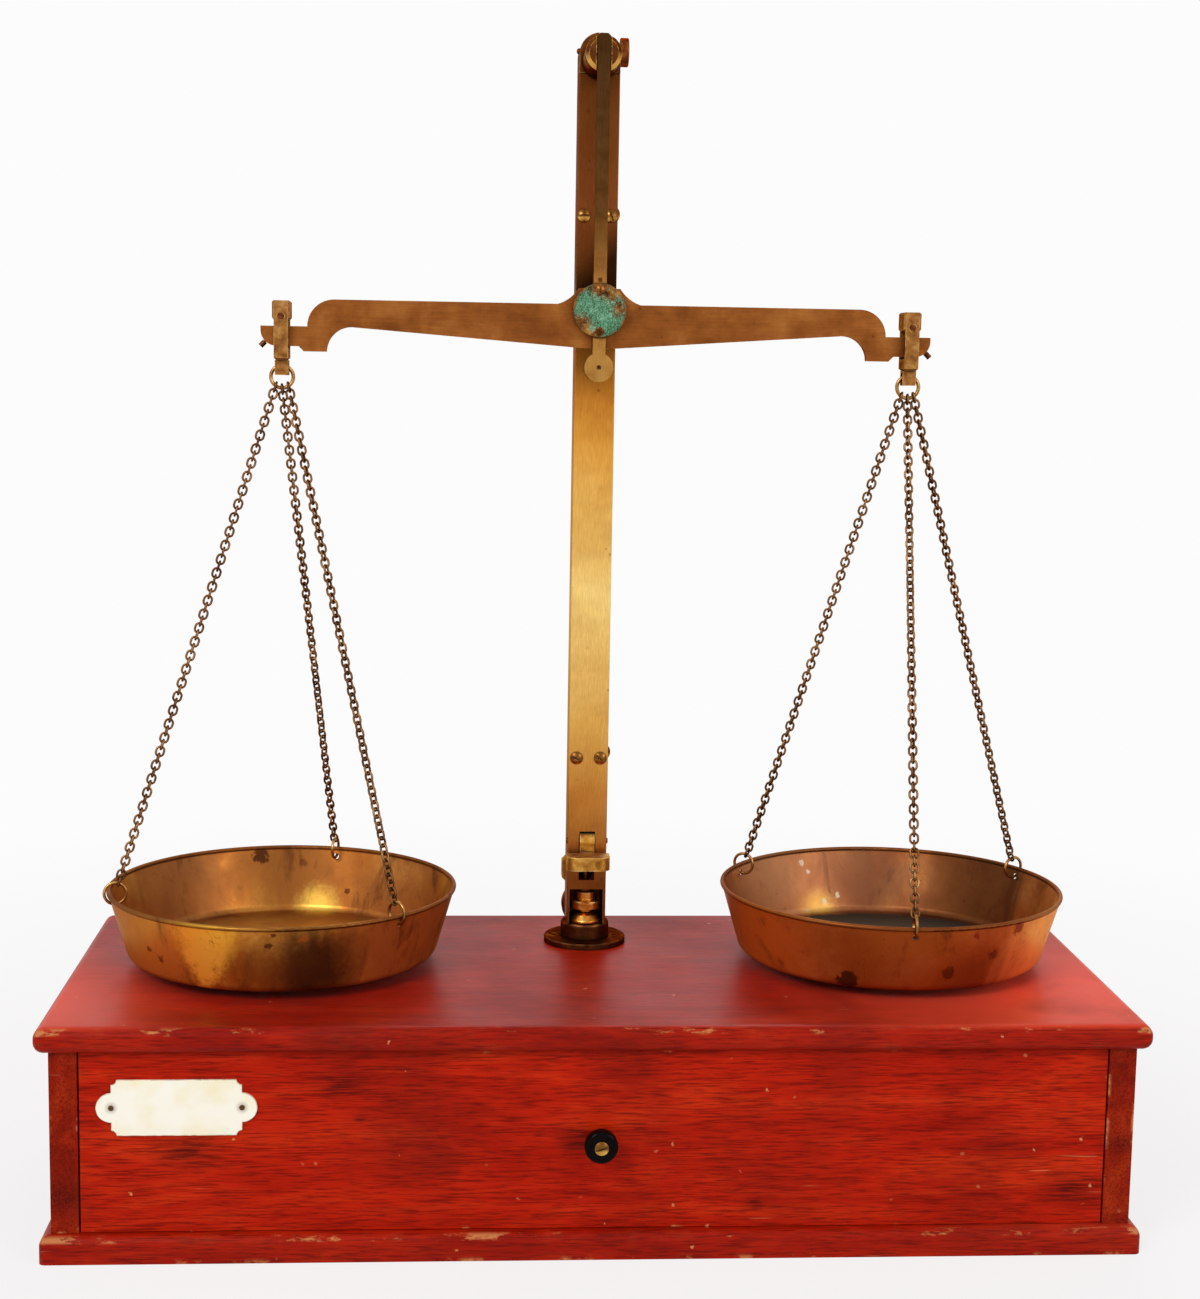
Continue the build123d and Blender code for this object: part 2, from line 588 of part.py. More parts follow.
def column_tube():
    """A square drawn tube, cut for the stop nut, the lever, its pin and the screws."""
    half = COLUMN_WIDTH / 2
    bore = COLUMN_BORE / 2
    bottom = TOP_Z + DRUM_TOP
    tube = box_between(-half, half, COLUMN_FRONT_Y, COLUMN_BACK_Y, bottom, TOP_Z + COLUMN_TOP)
    tube = fillet(tube.edges().filter_by(Axis.Z), COLUMN_EDGE_RADIUS)
    tube -= box_between(-bore, bore, COLUMN_Y - bore, COLUMN_Y + bore, bottom, TOP_Z + COLUMN_TOP)
    tube -= box_between(
        -bore, bore, COLUMN_FRONT_Y, COLUMN_FRONT_Y + COLUMN_WALL, bottom, TOP_Z + WINDOW_TOP
    )
    slot = LEVER_SLOT_WIDTH / 2
    tube -= box_between(
        -slot, slot, COLUMN_FRONT_Y, COLUMN_Y, TOP_Z + LEVER_SLOT_BOTTOM, TOP_Z + LEVER_SLOT_TOP
    )
    tail_low, tail_high = tail_slot_heights()
    tube -= box_between(-slot, slot, COLUMN_Y, COLUMN_BACK_Y, tail_low, tail_high)
    tube -= cylinder_x(PIVOT_PIN_DIAMETER / 2, -half, half, PIVOT_Y, PIVOT_Z)
    tube -= cylinder_y(REAR_SCREW_DIAMETER / 2, COLUMN_Y, COLUMN_BACK_Y, 0, TOP_Z + REAR_KNOB_HEIGHT)
    return tube - guide_screw_holes()


def guide_block(centre):
    """A square brass block that fills the tube and guides the lift rod."""
    half = COLUMN_BORE / 2 - GUIDE_CLEAR
    z = TOP_Z + centre
    block = box_between(
        -half, half, COLUMN_Y - half, COLUMN_Y + half, z - GUIDE_HEIGHT / 2, z + GUIDE_HEIGHT / 2
    )
    bore = cylinder_z(
        ROD_DIAMETER / 2 + ROD_CLEAR, z - GUIDE_HEIGHT / 2, z + GUIDE_HEIGHT / 2, 0, COLUMN_Y
    )
    return block - bore - guide_screw_holes()


def lever_pin():
    """The lever's pivot pin, domed at both ends and held in the tube's walls."""
    half = COLUMN_WIDTH / 2 + PIVOT_PIN_PROUD
    pin = cylinder_x(PIVOT_PIN_DIAMETER / 2, -half, half, PIVOT_Y, PIVOT_Z)
    return fillet(pin.edges().filter_by(GeomType.CIRCLE), PIVOT_PIN_PROUD * 0.9)


# ------------------------------------------------------ stop nut, rear knob
def stop_foot():
    """The turned foot and stud that the stop nut runs on."""
    base = DRUM_TOP
    rim = STOP_FOOT_DIAMETER / 2
    stud = STOP_STUD_DIAMETER / 2
    neck = STOP_NECK_DIAMETER / 2
    foot = turned(
        [
            (0, FLANGE_T),
            (stud, FLANGE_T),
            (stud, base),
            (rim, base),
            (rim, base + STOP_FOOT_RIM),
            ((rim + neck) / 2, base + STOP_FOOT_HEIGHT * 0.75),
            (neck, base + STOP_FOOT_HEIGHT),
            (stud, base + STOP_FOOT_HEIGHT),
            (stud, STOP_STUD_TOP),
            (0, STOP_STUD_TOP),
        ]
    )
    rims = foot.edges().filter_by(GeomType.CIRCLE).sort_by(SortBy.RADIUS)[-3:]
    return Pos(0, STOP_Y, TOP_Z) * fillet(rims, STOP_FOOT_RIM * 0.4)


def stop_nut():
    """The knurled nut whose hollow hub the lift rod rests on."""
    bore = STOP_STUD_DIAMETER / 2 + NUT_CLEAR
    wheel = Pos(0, 0, STOP_WHEEL_BOTTOM) * knurled_disc(
        STOP_WHEEL_DIAMETER, STOP_WHEEL_T, STOP_KNURLS, KNURL_DEPTH
    )
    hub_base = STOP_WHEEL_BOTTOM + STOP_WHEEL_T
    nut = wheel + cylinder_z(STOP_HUB_DIAMETER / 2, hub_base, STOP_HUB_TOP, 0, 0)
    nut += cylinder_z(STOP_NECK_DIAMETER / 2, stop_nut_bottom(), STOP_WHEEL_BOTTOM, 0, 0)
    nut -= cylinder_z(bore, stop_nut_bottom(), STOP_HUB_TOP, 0, 0)
    nut -= cylinder_z(STOP_HUB_BORE / 2, STOP_HUB_TOP - STOP_HUB_BORE_DEPTH, STOP_HUB_TOP, 0, 0)
    return Pos(0, STOP_Y, TOP_Z) * nut


def stop_nut_bottom():
    return DRUM_TOP + STOP_FOOT_HEIGHT + PIECE_GAP


def rear_clamp_knob():
    """The knurled clamp screw behind the column, square to its rear face."""
    knob = Pos(0, 0, REAR_HUB_LENGTH) * knurled_disc(
        REAR_KNOB_DIAMETER, REAR_KNOB_T, REAR_KNOB_KNURLS, KNURL_DEPTH * 2
    )
    knob += cylinder_z(REAR_HUB_DIAMETER / 2, 0, REAR_HUB_LENGTH, 0, 0)
    reach = COLUMN_WIDTH / 2 - STOP_FOOT_DIAMETER / 2 + PIECE_GAP
    shank_end = -min(reach, COLUMN_WALL + PIECE_GAP)
    knob += cylinder_z(REAR_SCREW_DIAMETER / 2 - NUT_CLEAR, shank_end, 0, 0, 0)
    return Pos(0, COLUMN_BACK_Y + PIECE_GAP, TOP_Z + REAR_KNOB_HEIGHT) * Rot(-90, 0, 0) * knob


# ------------------------------------------------------------------ the lever
TAIL_FRONT = COLUMN_WIDTH - PIVOT_INSET + TAIL_GAP
ARM_REAR_TOP = -(TAIL_BOTTOM_DROP - TAIL_HEIGHT / 2 - ARM_REAR_DEPTH / 2)


def lever():
    """Barrel, cranked arm and thumb plate in one casting, slotted for the lift rod."""
    nose_z = -THUMB_TOP_DROP - LIFT_NOSE_RADIUS
    thumb_bottom = -THUMB_TOP_DROP - THUMB_T
    outline = Polygon(
        (-LEVER_BARREL_RADIUS * 0.9, 0),
        (-LEVER_BARREL_RADIUS * 0.9, -THUMB_TOP_DROP),
        (-THUMB_REAR - THUMB_REAR_CHAMFER, -THUMB_TOP_DROP),
        (-THUMB_REAR - THUMB_REAR_CHAMFER, thumb_bottom),
        (PIVOT_INSET, thumb_bottom),
        (TAIL_FRONT, ARM_REAR_TOP - ARM_REAR_DEPTH),
        (TAIL_FRONT, ARM_REAR_TOP),
        (ROD_REACH + LIFT_NOSE_RADIUS, nose_z),
        (ROD_REACH, nose_z + LIFT_NOSE_RADIUS),
        (LEVER_BARREL_RADIUS, nose_z + LIFT_NOSE_RADIUS / 2),
        (LEVER_BARREL_RADIUS * 0.7, -LEVER_BARREL_RADIUS * 0.7),
        align=None,
    )
    outline += Circle(LEVER_BARREL_RADIUS)
    outline += Pos(ROD_REACH, nose_z) * Circle(LIFT_NOSE_RADIUS)
    arm = side_plate(outline, LEVER_ARM_WIDTH)
    arm += thumb_plate()
    arm -= cylinder_x(
        PIVOT_PIN_DIAMETER / 2 + PIVOT_CLEAR, -LEVER_ARM_WIDTH, LEVER_ARM_WIDTH, 0, 0
    )
    arm -= rod_slot()
    return Pos(0, PIVOT_Y, PIVOT_Z) * arm


def thumb_plate():
    half = THUMB_WIDTH / 2
    plate = box_between(-half, half, -THUMB_REACH, -THUMB_REAR, -THUMB_TOP_DROP - THUMB_T, -THUMB_TOP_DROP)
    corners = plate.edges().filter_by(Axis.Z).group_by(Axis.Y)[0]
    plate = fillet(corners, THUMB_CORNER_RADIUS)
    rear_foot = plate.edges().filter_by(Axis.X).group_by(Axis.Y)[-1].sort_by(Axis.Z)[0]
    plate = chamfer(rear_foot, THUMB_REAR_CHAMFER)
    return fillet(plate.faces().sort_by(Axis.Z)[-1].edges(), PIECE_GAP)


def rod_slot():
    """Room in the arm for the lift rod, over the whole swing of the lever."""
    angle = math.radians(LEVER_TRAVEL)
    reach = ROD_DIAMETER / 2 + ROD_SLOT_CLEAR
    depth = THUMB_TOP_DROP + THUMB_T + LEVER_BARREL_RADIUS
    front_top = ROD_REACH * math.cos(angle) - reach / math.cos(angle)
    front_bottom = front_top - depth * math.tan(angle)
    low = -2 * depth
    outline = Polygon(
        (front_top, 0),
        (front_bottom, -depth),
        (front_bottom, low),
        (ROD_REACH + reach + ROD_SLOT_CLEAR, low),
        (ROD_REACH + reach + ROD_SLOT_CLEAR, 0),
        align=None,
    )
    return side_plate(outline, 2 * reach)


def lever_tail():
    """The block behind the column, with bevelled corners, on the end of the arm."""
    bottom = -TAIL_BOTTOM_DROP
    block = Pos(0, bottom + TAIL_HEIGHT / 2) * Rectangle(TAIL_WIDTH, TAIL_HEIGHT)
    block = chamfer(block.vertices(), TAIL_CHAMFER)
    tail = Pos(0, PIVOT_Y + TAIL_FRONT, PIVOT_Z) * front_plate(block, 0, TAIL_T)
    return tail


# --------------------------------------------------------- lift rod and head
HEAD_BOTTOM_Z = TOP_Z + COLUMN_TOP + PIECE_GAP
HEAD_FRONT_Y = COLUMN_FRONT_Y - PIECE_GAP
HEAD_RADIUS = COLUMN_WIDTH / 2
HEAD_TOP_Z = TOP_Z + COLUMN_TOP + HEAD_HEIGHT
HEAD_CENTRE_Z = HEAD_TOP_Z - HEAD_RADIUS
ROD_BOTTOM_Z = TOP_Z + STOP_HUB_TOP + PIECE_GAP


def lift_rod():
    """The long rod inside the column, with its foot and the collar that the lever lifts."""
    rod = cylinder_z(ROD_DIAMETER / 2, ROD_BOTTOM_Z, HEAD_BOTTOM_Z + ROD_IN_HEAD - PIECE_GAP, 0, COLUMN_Y)
    button = cylinder_z(ROD_BUTTON_DIAMETER / 2, ROD_BOTTOM_Z, ROD_BOTTOM_Z + ROD_BUTTON_T, 0, COLUMN_Y)
    collar = cylinder_z(COLLAR_DIAMETER / 2, COLLAR_Z, COLLAR_Z + COLLAR_T, 0, COLUMN_Y)
    return rod + button + collar


def lift_head():
    """The round-topped block over the column, slit so that its clamp screw grips the nose."""
    outline = Pos(0, HEAD_CENTRE_Z) * Circle(HEAD_RADIUS)
    height = HEAD_CENTRE_Z - HEAD_BOTTOM_Z
    outline += Pos(0, HEAD_CENTRE_Z - height / 2) * Rectangle(COLUMN_WIDTH, height)
    outline -= Pos(0, HEAD_BOTTOM_Z - HEAD_RADIUS) * Rectangle(COLUMN_WIDTH, 2 * HEAD_RADIUS)
    block = front_plate(outline, HEAD_FRONT_Y, COLUMN_BACK_Y - HEAD_FRONT_Y)
    block -= cylinder_y(
        NOSE_SHANK_DIAMETER / 2, HEAD_FRONT_Y, COLUMN_BACK_Y, 0, TOP_Z + NOSE_HEIGHT
    )
    block -= cylinder_z(ROD_DIAMETER / 2, HEAD_BOTTOM_Z, TOP_Z + NOSE_HEIGHT, 0, COLUMN_Y)
    slit = HEAD_SLIT / 2
    block -= box_between(
        -slit, slit, HEAD_FRONT_Y, COLUMN_BACK_Y, TOP_Z + NOSE_HEIGHT, HEAD_TOP_Z
    )
    half = COLUMN_WIDTH / 2
    return block - cylinder_x(
        CLAMP_SCREW_DIAMETER / 2 + NUT_CLEAR, -half, half, COLUMN_Y, TOP_Z + CLAMP_HEIGHT
    )


def head_nose():
    """The round nose that carries the hanger, slotted in front for the strap."""
    rear = HEAD_FRONT_Y
    z = TOP_Z + NOSE_HEIGHT
    nose = cylinder_y(NOSE_DIAMETER / 2, NOSE_FRONT_Y, rear, 0, z)
    nose = chamfer(nose.edges().filter_by(GeomType.CIRCLE).sort_by(Axis.Y)[0], NOSE_CHAMFER)
    shank_end = COLUMN_BACK_Y - PIECE_GAP
    nose += cylinder_y(NOSE_SHANK_DIAMETER / 2, rear, shank_end, 0, z)
    # The rod's upper end stands in the shank's underside.
    nose -= cylinder_z(
        ROD_DIAMETER / 2 + NUT_CLEAR, z - NOSE_SHANK_DIAMETER, HEAD_BOTTOM_Z + ROD_IN_HEAD, 0, COLUMN_Y
    )
    slot = STRAP_WIDTH / 2 + STRAP_SIDE_CLEAR
    nose -= box_between(-slot, slot, NOSE_FRONT_Y, STRAP_BACK_Y, z - NOSE_DIAMETER, z + NOSE_DIAMETER)
    return nose - strap_pin()


def strap_pin():
    z = TOP_Z + NOSE_HEIGHT
    half = NOSE_DIAMETER / 2 - NOSE_CHAMFER
    return cylinder_x(STRAP_PIN_DIAMETER / 2, -half, half, NOSE_FRONT_Y + STRAP_T / 2, z)


def clamp_knob():
    """The clamp screw across the head, with a knurled head on the right."""
    half = COLUMN_WIDTH / 2
    knob = Pos(0, 0, half + PIECE_GAP) * knurled_disc(
        CLAMP_KNOB_DIAMETER, CLAMP_KNOB_T, CLAMP_KNOB_KNURLS, KNURL_DEPTH
    )
    tip = -half - CLAMP_TIP_PROUD
    shank = cylinder_z(CLAMP_SCREW_DIAMETER / 2, tip, half + PIECE_GAP, 0, 0)
    shank = fillet(shank.edges().sort_by(Axis.Z)[0], CLAMP_SCREW_DIAMETER * 0.4)
    return Pos(0, COLUMN_Y, TOP_Z + CLAMP_HEIGHT) * Rot(0, 90, 0) * (knob + shank)


# ------------------------------------------------------------------ the hanger
def hanger_outline(top, bob_hole):
    """Strap, round eye, neck and bob, with the bearing's window, about the bearing's centre."""
    outline = Pos(0, (top - BOB_DROP) / 2) * Rectangle(STRAP_WIDTH, top + BOB_DROP)
    outline += Circle(EYE_DIAMETER / 2)
    outline += Pos(0, -BOB_DROP) * Circle(BOB_DIAMETER / 2)
    block_bottom = -CENTRE_KNIFE_DROP - BEARING_BLOCK_DEPTH
    height = BEARING_WINDOW_TOP - block_bottom
    outline -= Pos(0, block_bottom + height / 2) * Rectangle(BEARING_WINDOW_WIDTH, height)
    return outline - Pos(0, -BOB_DROP) * Circle(bob_hole / 2)


def hanger_strap():
    outline = hanger_outline(HANGER_LENGTH + STRAP_HEAD, BOB_SCREW_DIAMETER)
    for offset in (-COVER_SCREW_OFFSET, COVER_SCREW_OFFSET):
        outline -= Pos(0, offset) * Circle(COVER_SCREW_DIAMETER / 2)
    outline -= Pos(0, spacer_centre()) * Circle(SHACKLE_RIVET_DIAMETER / 2)
    strap = front_plate(Pos(0, BEARING_Z) * outline, NOSE_FRONT_Y, STRAP_T)
    top_edges = strap.faces().sort_by(Axis.Z)[-1].edges().filter_by(Axis.Y)
    strap = chamfer(top_edges, STRAP_CHAMFER)
    return strap - strap_pin()


def spacer_centre():
    return SHACKLE_SPACER_BOTTOM + SHACKLE_SPACER_HEIGHT / 2


def rear_shackle_plate():
    """The plate behind the beam that matches the strap's eye."""
    top = SHACKLE_SPACER_BOTTOM + SHACKLE_SPACER_HEIGHT
    outline = hanger_outline(top, BOB_SCREW_DIAMETER)
    outline -= Pos(0, spacer_centre()) * Circle(SHACKLE_RIVET_DIAMETER / 2)
    return front_plate(Pos(0, BEARING_Z) * outline, REAR_PLATE_Y, REAR_PLATE_T)


def shackle_spacers():
    """The block above the beam and the round one at the bob that join strap and rear plate."""
    span = REAR_PLATE_Y - STRAP_BACK_Y
    upper = Pos(0, spacer_centre()) * Rectangle(STRAP_WIDTH, SHACKLE_SPACER_HEIGHT)
    upper -= Pos(0, spacer_centre()) * Circle(SHACKLE_RIVET_DIAMETER / 2)
    lower = Pos(0, -BOB_DROP) * (Circle(BOB_SPACER_DIAMETER / 2) - Circle(BOB_SCREW_DIAMETER / 2))
    return [front_plate(Pos(0, BEARING_Z) * outline, STRAP_BACK_Y, span) for outline in (upper, lower)]


def shackle_screws():
    """The rivet through the upper spacer and the screw through the bob."""
    back = REAR_PLATE_Y + REAR_PLATE_T
    rivet = cylinder_y(
        SHACKLE_RIVET_DIAMETER / 2, NOSE_FRONT_Y, back, 0, BEARING_Z + spacer_centre()
    )
    screw = cylinder_y(BOB_SCREW_DIAMETER / 2, NOSE_FRONT_Y, back, 0, BEARING_Z - BOB_DROP)
    slot = Box(BOB_SCREW_DIAMETER, BOB_SCREW_DIAMETER / 2, BOB_SCREW_DIAMETER / 4)
    screw -= Pos(0, NOSE_FRONT_Y, BEARING_Z - BOB_DROP) * Rot(0, 40, 0) * slot
    return [rivet, screw]


def bearing_block(y_front, thickness):
    """A hard block with a V that the centre knife's edge rocks in."""
    edge = -CENTRE_KNIFE_DROP
    bottom = edge - BEARING_BLOCK_DEPTH
    top = edge + BEARING_BLOCK_RISE
    outline = Pos(0, (bottom + top) / 2) * Rectangle(BEARING_WINDOW_WIDTH, top - bottom)
    root = edge - KNIFE_CLEAR
    height = top - root + 1
    spread = height * math.tan(math.radians(BEARING_V_HALF_ANGLE))
    outline -= Polygon((0, root), (spread, root + height), (-spread, root + height), align=None)
    return front_plate(Pos(0, BEARING_Z) * outline, y_front, thickness)


def bearing_cover():
    """The round cover over the front bearing."""
    outline = Circle(COVER_DIAMETER / 2)
    for offset in (-COVER_SCREW_OFFSET, COVER_SCREW_OFFSET):
        outline -= Pos(0, offset) * Circle(COVER_SCREW_DIAMETER / 2)
    cover = front_plate(Pos(0, BEARING_Z) * outline, NOSE_FRONT_Y - COVER_T, COVER_T)
    rim = cover.edges().filter_by(GeomType.CIRCLE).group_by(Axis.Y)[0].sort_by(SortBy.RADIUS)[-1]
    return fillet(rim, COVER_EDGE_RADIUS)


def cover_screws():
    length = COVER_T + STRAP_T
    screws = []
    for offset, slot_angle in ((COVER_SCREW_OFFSET, 80), (-COVER_SCREW_OFFSET, 140)):
        screw = slotted_screw(
            COVER_SCREW_DIAMETER, length, COVER_SCREW_HEAD_DIAMETER, COVER_SCREW_HEAD_T, slot_angle
        )
        screws.append(Pos(0, NOSE_FRONT_Y - COVER_T, BEARING_Z + offset) * Rot(90, 0, 0) * screw)
    return screws


# -------------------------------------------------------------------- the beam
def knife_outline(edge_up):
    """A knife's triangle with its edge at the origin."""
    half = KNIFE_HALF_WIDTH
    triangle = Polygon((0, 0), (half, KNIFE_HEIGHT), (-half, KNIFE_HEIGHT), align=None)
    return Rot(0, 0, 180) * triangle if edge_up else triangle


def centre_knife():
    front = NOSE_FRONT_Y + PIECE_GAP
    length = REAR_PLATE_Y + REAR_PLATE_T - PIECE_GAP - front
    outline = Pos(0, CENTRE_KNIFE_Z) * knife_outline(False)
    return front_plate(outline, front, length)


def end_knife(side):
    window = STIRRUP_DEPTH - 2 * STIRRUP_BAR_T
    front = BEAM_Y - window / 2 + 2 * PIECE_GAP
    outline = Pos(side * BEAM_ARM, END_KNIFE_Z) * knife_outline(True)
    return front_plate(outline, front, 2 * (BEAM_Y - front))


def half_beam_outline():
    """The right half of the beam about the bearing's centre: hub, tapered arm, swan neck and tip."""
    neck_x = BEAM_ARM - NECK_OUTSIDE
    neck_radius = ARM_RISE + TIP_TOP_DROP
    foot_x = BEAM_ARM - FOOT_OUTSIDE
    foot_inner_x = foot_x - FOOT_WIDTH
    inner_radius = FOOT_DROP - TIP_TOP_DROP
    tip_x = BEAM_ARM + TIP_OVERHANG
    round_top = -TIP_BOTTOM_DROP + TIP_RADIUS
    knee = FOOT_DROP - TIP_BOTTOM_DROP
    flare_x = HUB_HALF_WIDTH + HUB_FLARE
    flare_mid = (
        HUB_HALF_WIDTH + HUB_FLARE * 0.4,
        ARM_RISE + (HUB_RISE - ARM_RISE) * 0.42,
    )
    edges = [
        Line((0, HUB_RISE), (HUB_HALF_WIDTH, HUB_RISE)),
        ThreePointArc((HUB_HALF_WIDTH, HUB_RISE), flare_mid, (flare_x, ARM_RISE)),
        Line((flare_x, ARM_RISE), (neck_x - neck_radius, ARM_RISE)),
        RadiusArc((neck_x - neck_radius, ARM_RISE), (neck_x, -TIP_TOP_DROP), neck_radius),
        Line((neck_x, -TIP_TOP_DROP), (tip_x, -TIP_TOP_DROP)),
        Line((tip_x, -TIP_TOP_DROP), (tip_x, round_top)),
        RadiusArc((tip_x, round_top), (tip_x - TIP_RADIUS, -TIP_BOTTOM_DROP), TIP_RADIUS),
        Line((tip_x - TIP_RADIUS, -TIP_BOTTOM_DROP), (foot_x + knee, -TIP_BOTTOM_DROP)),
        Line((foot_x + knee, -TIP_BOTTOM_DROP), (foot_x, -FOOT_DROP)),
        Line((foot_x, -FOOT_DROP), (foot_inner_x, -FOOT_DROP)),
        RadiusArc((foot_inner_x, -FOOT_DROP), (foot_inner_x - inner_radius, -TIP_TOP_DROP), -inner_radius),
        Line((foot_inner_x - inner_radius, -TIP_TOP_DROP), (HUB_FLAT, -HUB_DROP)),
        Line((HUB_FLAT, -HUB_DROP), (0, -HUB_DROP)),
        Line((0, -HUB_DROP), (0, HUB_RISE)),
    ]
    return make_face(edges)


def beam():
    """The flat beam, notched for its three knives and drilled for the tip screws."""
    half = half_beam_outline()
    outline = half + mirror(half, Plane.YZ)
    outline -= Pos(0, -CENTRE_KNIFE_DROP) * knife_outline(False)
    for side in (-1, 1):
        outline -= Pos(side * BEAM_ARM, -END_KNIFE_DROP) * knife_outline(True)
    plate = front_plate(Pos(0, BEARING_Z) * outline, BEAM_FRONT_Y, BEAM_T)
    shank = Pos(0, 0, -TIP_SCREW_LENGTH / 2) * Cylinder(TIP_SCREW_DIAMETER / 2, TIP_SCREW_LENGTH)
    return plate - [tip_screw_place(side) * shank for side in (-1, 1)]


def tip_screw_place(side):
    """Seat of an adjusting screw on the round under the beam's tip, axis along the radius."""
    angle = math.radians(TIP_SCREW_ANGLE)
    x = BEAM_ARM + TIP_OVERHANG - TIP_RADIUS + TIP_RADIUS * math.cos(angle)
    z = -TIP_BOTTOM_DROP + TIP_RADIUS - TIP_RADIUS * math.sin(angle)
    turn = 90 + TIP_SCREW_ANGLE
    return Pos(side * x, BEAM_Y, BEARING_Z + z) * Rot(0, side * turn, 0)


def tip_screws():
    """A small adjusting screw under each tip of the beam."""
    screws = []
    for side in (-1, 1):
        head = Pos(0, 0, PIECE_GAP + TIP_SCREW_HEAD_T / 2) * Cylinder(
            TIP_SCREW_HEAD_DIAMETER / 2, TIP_SCREW_HEAD_T
        )
        shank = cylinder_z(TIP_SCREW_DIAMETER / 2, -TIP_SCREW_LENGTH, PIECE_GAP, 0, 0)
        screws.append(tip_screw_place(side) * (head + shank))
    return screws


# -------------------------------------------------------- stirrups and rings
def stirrup(side):
    """The box end: a frame round the beam's tip, with the eye for the ring below."""
    depth = STIRRUP_DEPTH / 2
    bar = STIRRUP_BAR_WIDTH / 2
    frame = box_between(-bar, bar, -depth, depth, -STIRRUP_BLOCK_DROP, STIRRUP_TOP_RISE)
    lower_edges = frame.edges().group_by(Axis.Z)[0]
    frame = chamfer(lower_edges, STIRRUP_CHAMFER)
    top = STIRRUP_TOP_WIDTH / 2
    cap = box_between(-top, top, -depth, depth, STIRRUP_TOP_GAP, STIRRUP_TOP_RISE)
    cap = chamfer(cap.edges(), STIRRUP_CHAMFER * 0.8)
    frame += cap
    window = depth - STIRRUP_BAR_T
    frame -= box_between(-bar, bar, -window, window, -STIRRUP_WINDOW_DROP, STIRRUP_TOP_GAP)
    eye = EYE_BLOCK_WIDTH / 2
    frame += box_between(
        -eye, eye, -EYE_BLOCK_DEPTH / 2, EYE_BLOCK_DEPTH / 2, -EYE_BLOCK_DROP, -STIRRUP_BLOCK_DROP
    )
    frame -= cylinder_x(EYE_HOLE_RADIUS, -eye, eye, 0, -EYE_HOLE_DROP)
    pin_z = KNIFE_CLEAR + BEARING_PIN_DIAMETER / 2
    frame -= cylinder_y(BEARING_PIN_DIAMETER / 2, -depth, depth, 0, pin_z)
    return Pos(side * BEAM_ARM, BEAM_Y, END_KNIFE_Z) * frame


def bearing_pin(side):
    """The hard pin through the stirrup's top that rides on the end knife."""
    depth = STIRRUP_DEPTH / 2
    z = END_KNIFE_Z + KNIFE_CLEAR + BEARING_PIN_DIAMETER / 2
    return cylinder_y(BEARING_PIN_DIAMETER / 2, BEAM_Y - depth, BEAM_Y + depth, side * BEAM_ARM, z)


RING_RADIUS = (BIG_RING_DIAMETER - BIG_RING_WIRE) / 2
# The ring's top arc passes through the eye, half its sag above the hole's axis and half below.
RING_SAG = RING_RADIUS - math.sqrt(RING_RADIUS**2 - (EYE_BLOCK_WIDTH / 2) ** 2)
RING_Z = END_KNIFE_Z - EYE_HOLE_DROP + RING_SAG / 2 - RING_RADIUS


def big_ring(side):
    ring = Rot(90, 0, 0) * Torus(RING_RADIUS, BIG_RING_WIRE / 2)
    return Pos(side * BEAM_ARM, BEAM_Y, RING_Z) * ring


# -------------------------------------------------------------- pans and chains
PAN_Z = TOP_Z + PAN_CLEAR
PAN_HOLE_Z = PAN_Z + PAN_HEIGHT - PAN_HOLE_DROP
PAN_RING_RADIUS = (PAN_RING_DIAMETER - PAN_RING_WIRE) / 2
PAN_RIM_RADIUS = (PAN_DIAMETER - PAN_BEAD_DIAMETER) / 2
PAN_BASE_RADIUS = PAN_BASE_DIAMETER / 2


def pan_wall_radius(height):
    """Middle of the pan's sloping wall at a height above the pan's underside."""
    slope = (PAN_RIM_RADIUS - PAN_BASE_RADIUS) / (PAN_HEIGHT - PAN_BEAD_DIAMETER / 2)
    return PAN_BASE_RADIUS + slope * height


def pan(side, angles):
    """A spun pan: flat bottom, round corner, sloping wall and rolled edge."""
    wall = PAN_WALL / 2
    rim_z = PAN_HEIGHT - PAN_BEAD_DIAMETER / 2
    outside = Polygon(
        (0, 0), (PAN_BASE_RADIUS + wall, 0), (PAN_RIM_RADIUS + wall, rim_z), (0, rim_z), align=None
    )
    inside = Polygon(
        (0, PAN_WALL),
        (pan_wall_radius(PAN_WALL) - wall, PAN_WALL),
        (PAN_RIM_RADIUS - wall, rim_z),
        (0, rim_z),
        align=None,
    )
    outside = fillet(outside.vertices().group_by(Axis.Y)[0].sort_by(Axis.X)[-1], PAN_CORNER_RADIUS)
    inside = fillet(inside.vertices().group_by(Axis.Y)[0].sort_by(Axis.X)[-1], PAN_CORNER_RADIUS - PAN_WALL)
    dish = revolve(Plane.XZ * (outside - inside), Axis.Z)
    dish += Pos(0, 0, rim_z) * Torus(PAN_RIM_RADIUS, PAN_BEAD_DIAMETER / 2)
    hole_radius = pan_wall_radius(PAN_HEIGHT - PAN_HOLE_DROP)
    for angle in angles:
        hole = cylinder_x(
            PAN_HOLE_DIAMETER / 2, hole_radius - 3, hole_radius + 3, 0, PAN_HEIGHT - PAN_HOLE_DROP
        )
        dish -= Rot(0, 0, angle) * hole
    return Pos(side * BEAM_ARM, BEAM_Y, PAN_Z) * dish


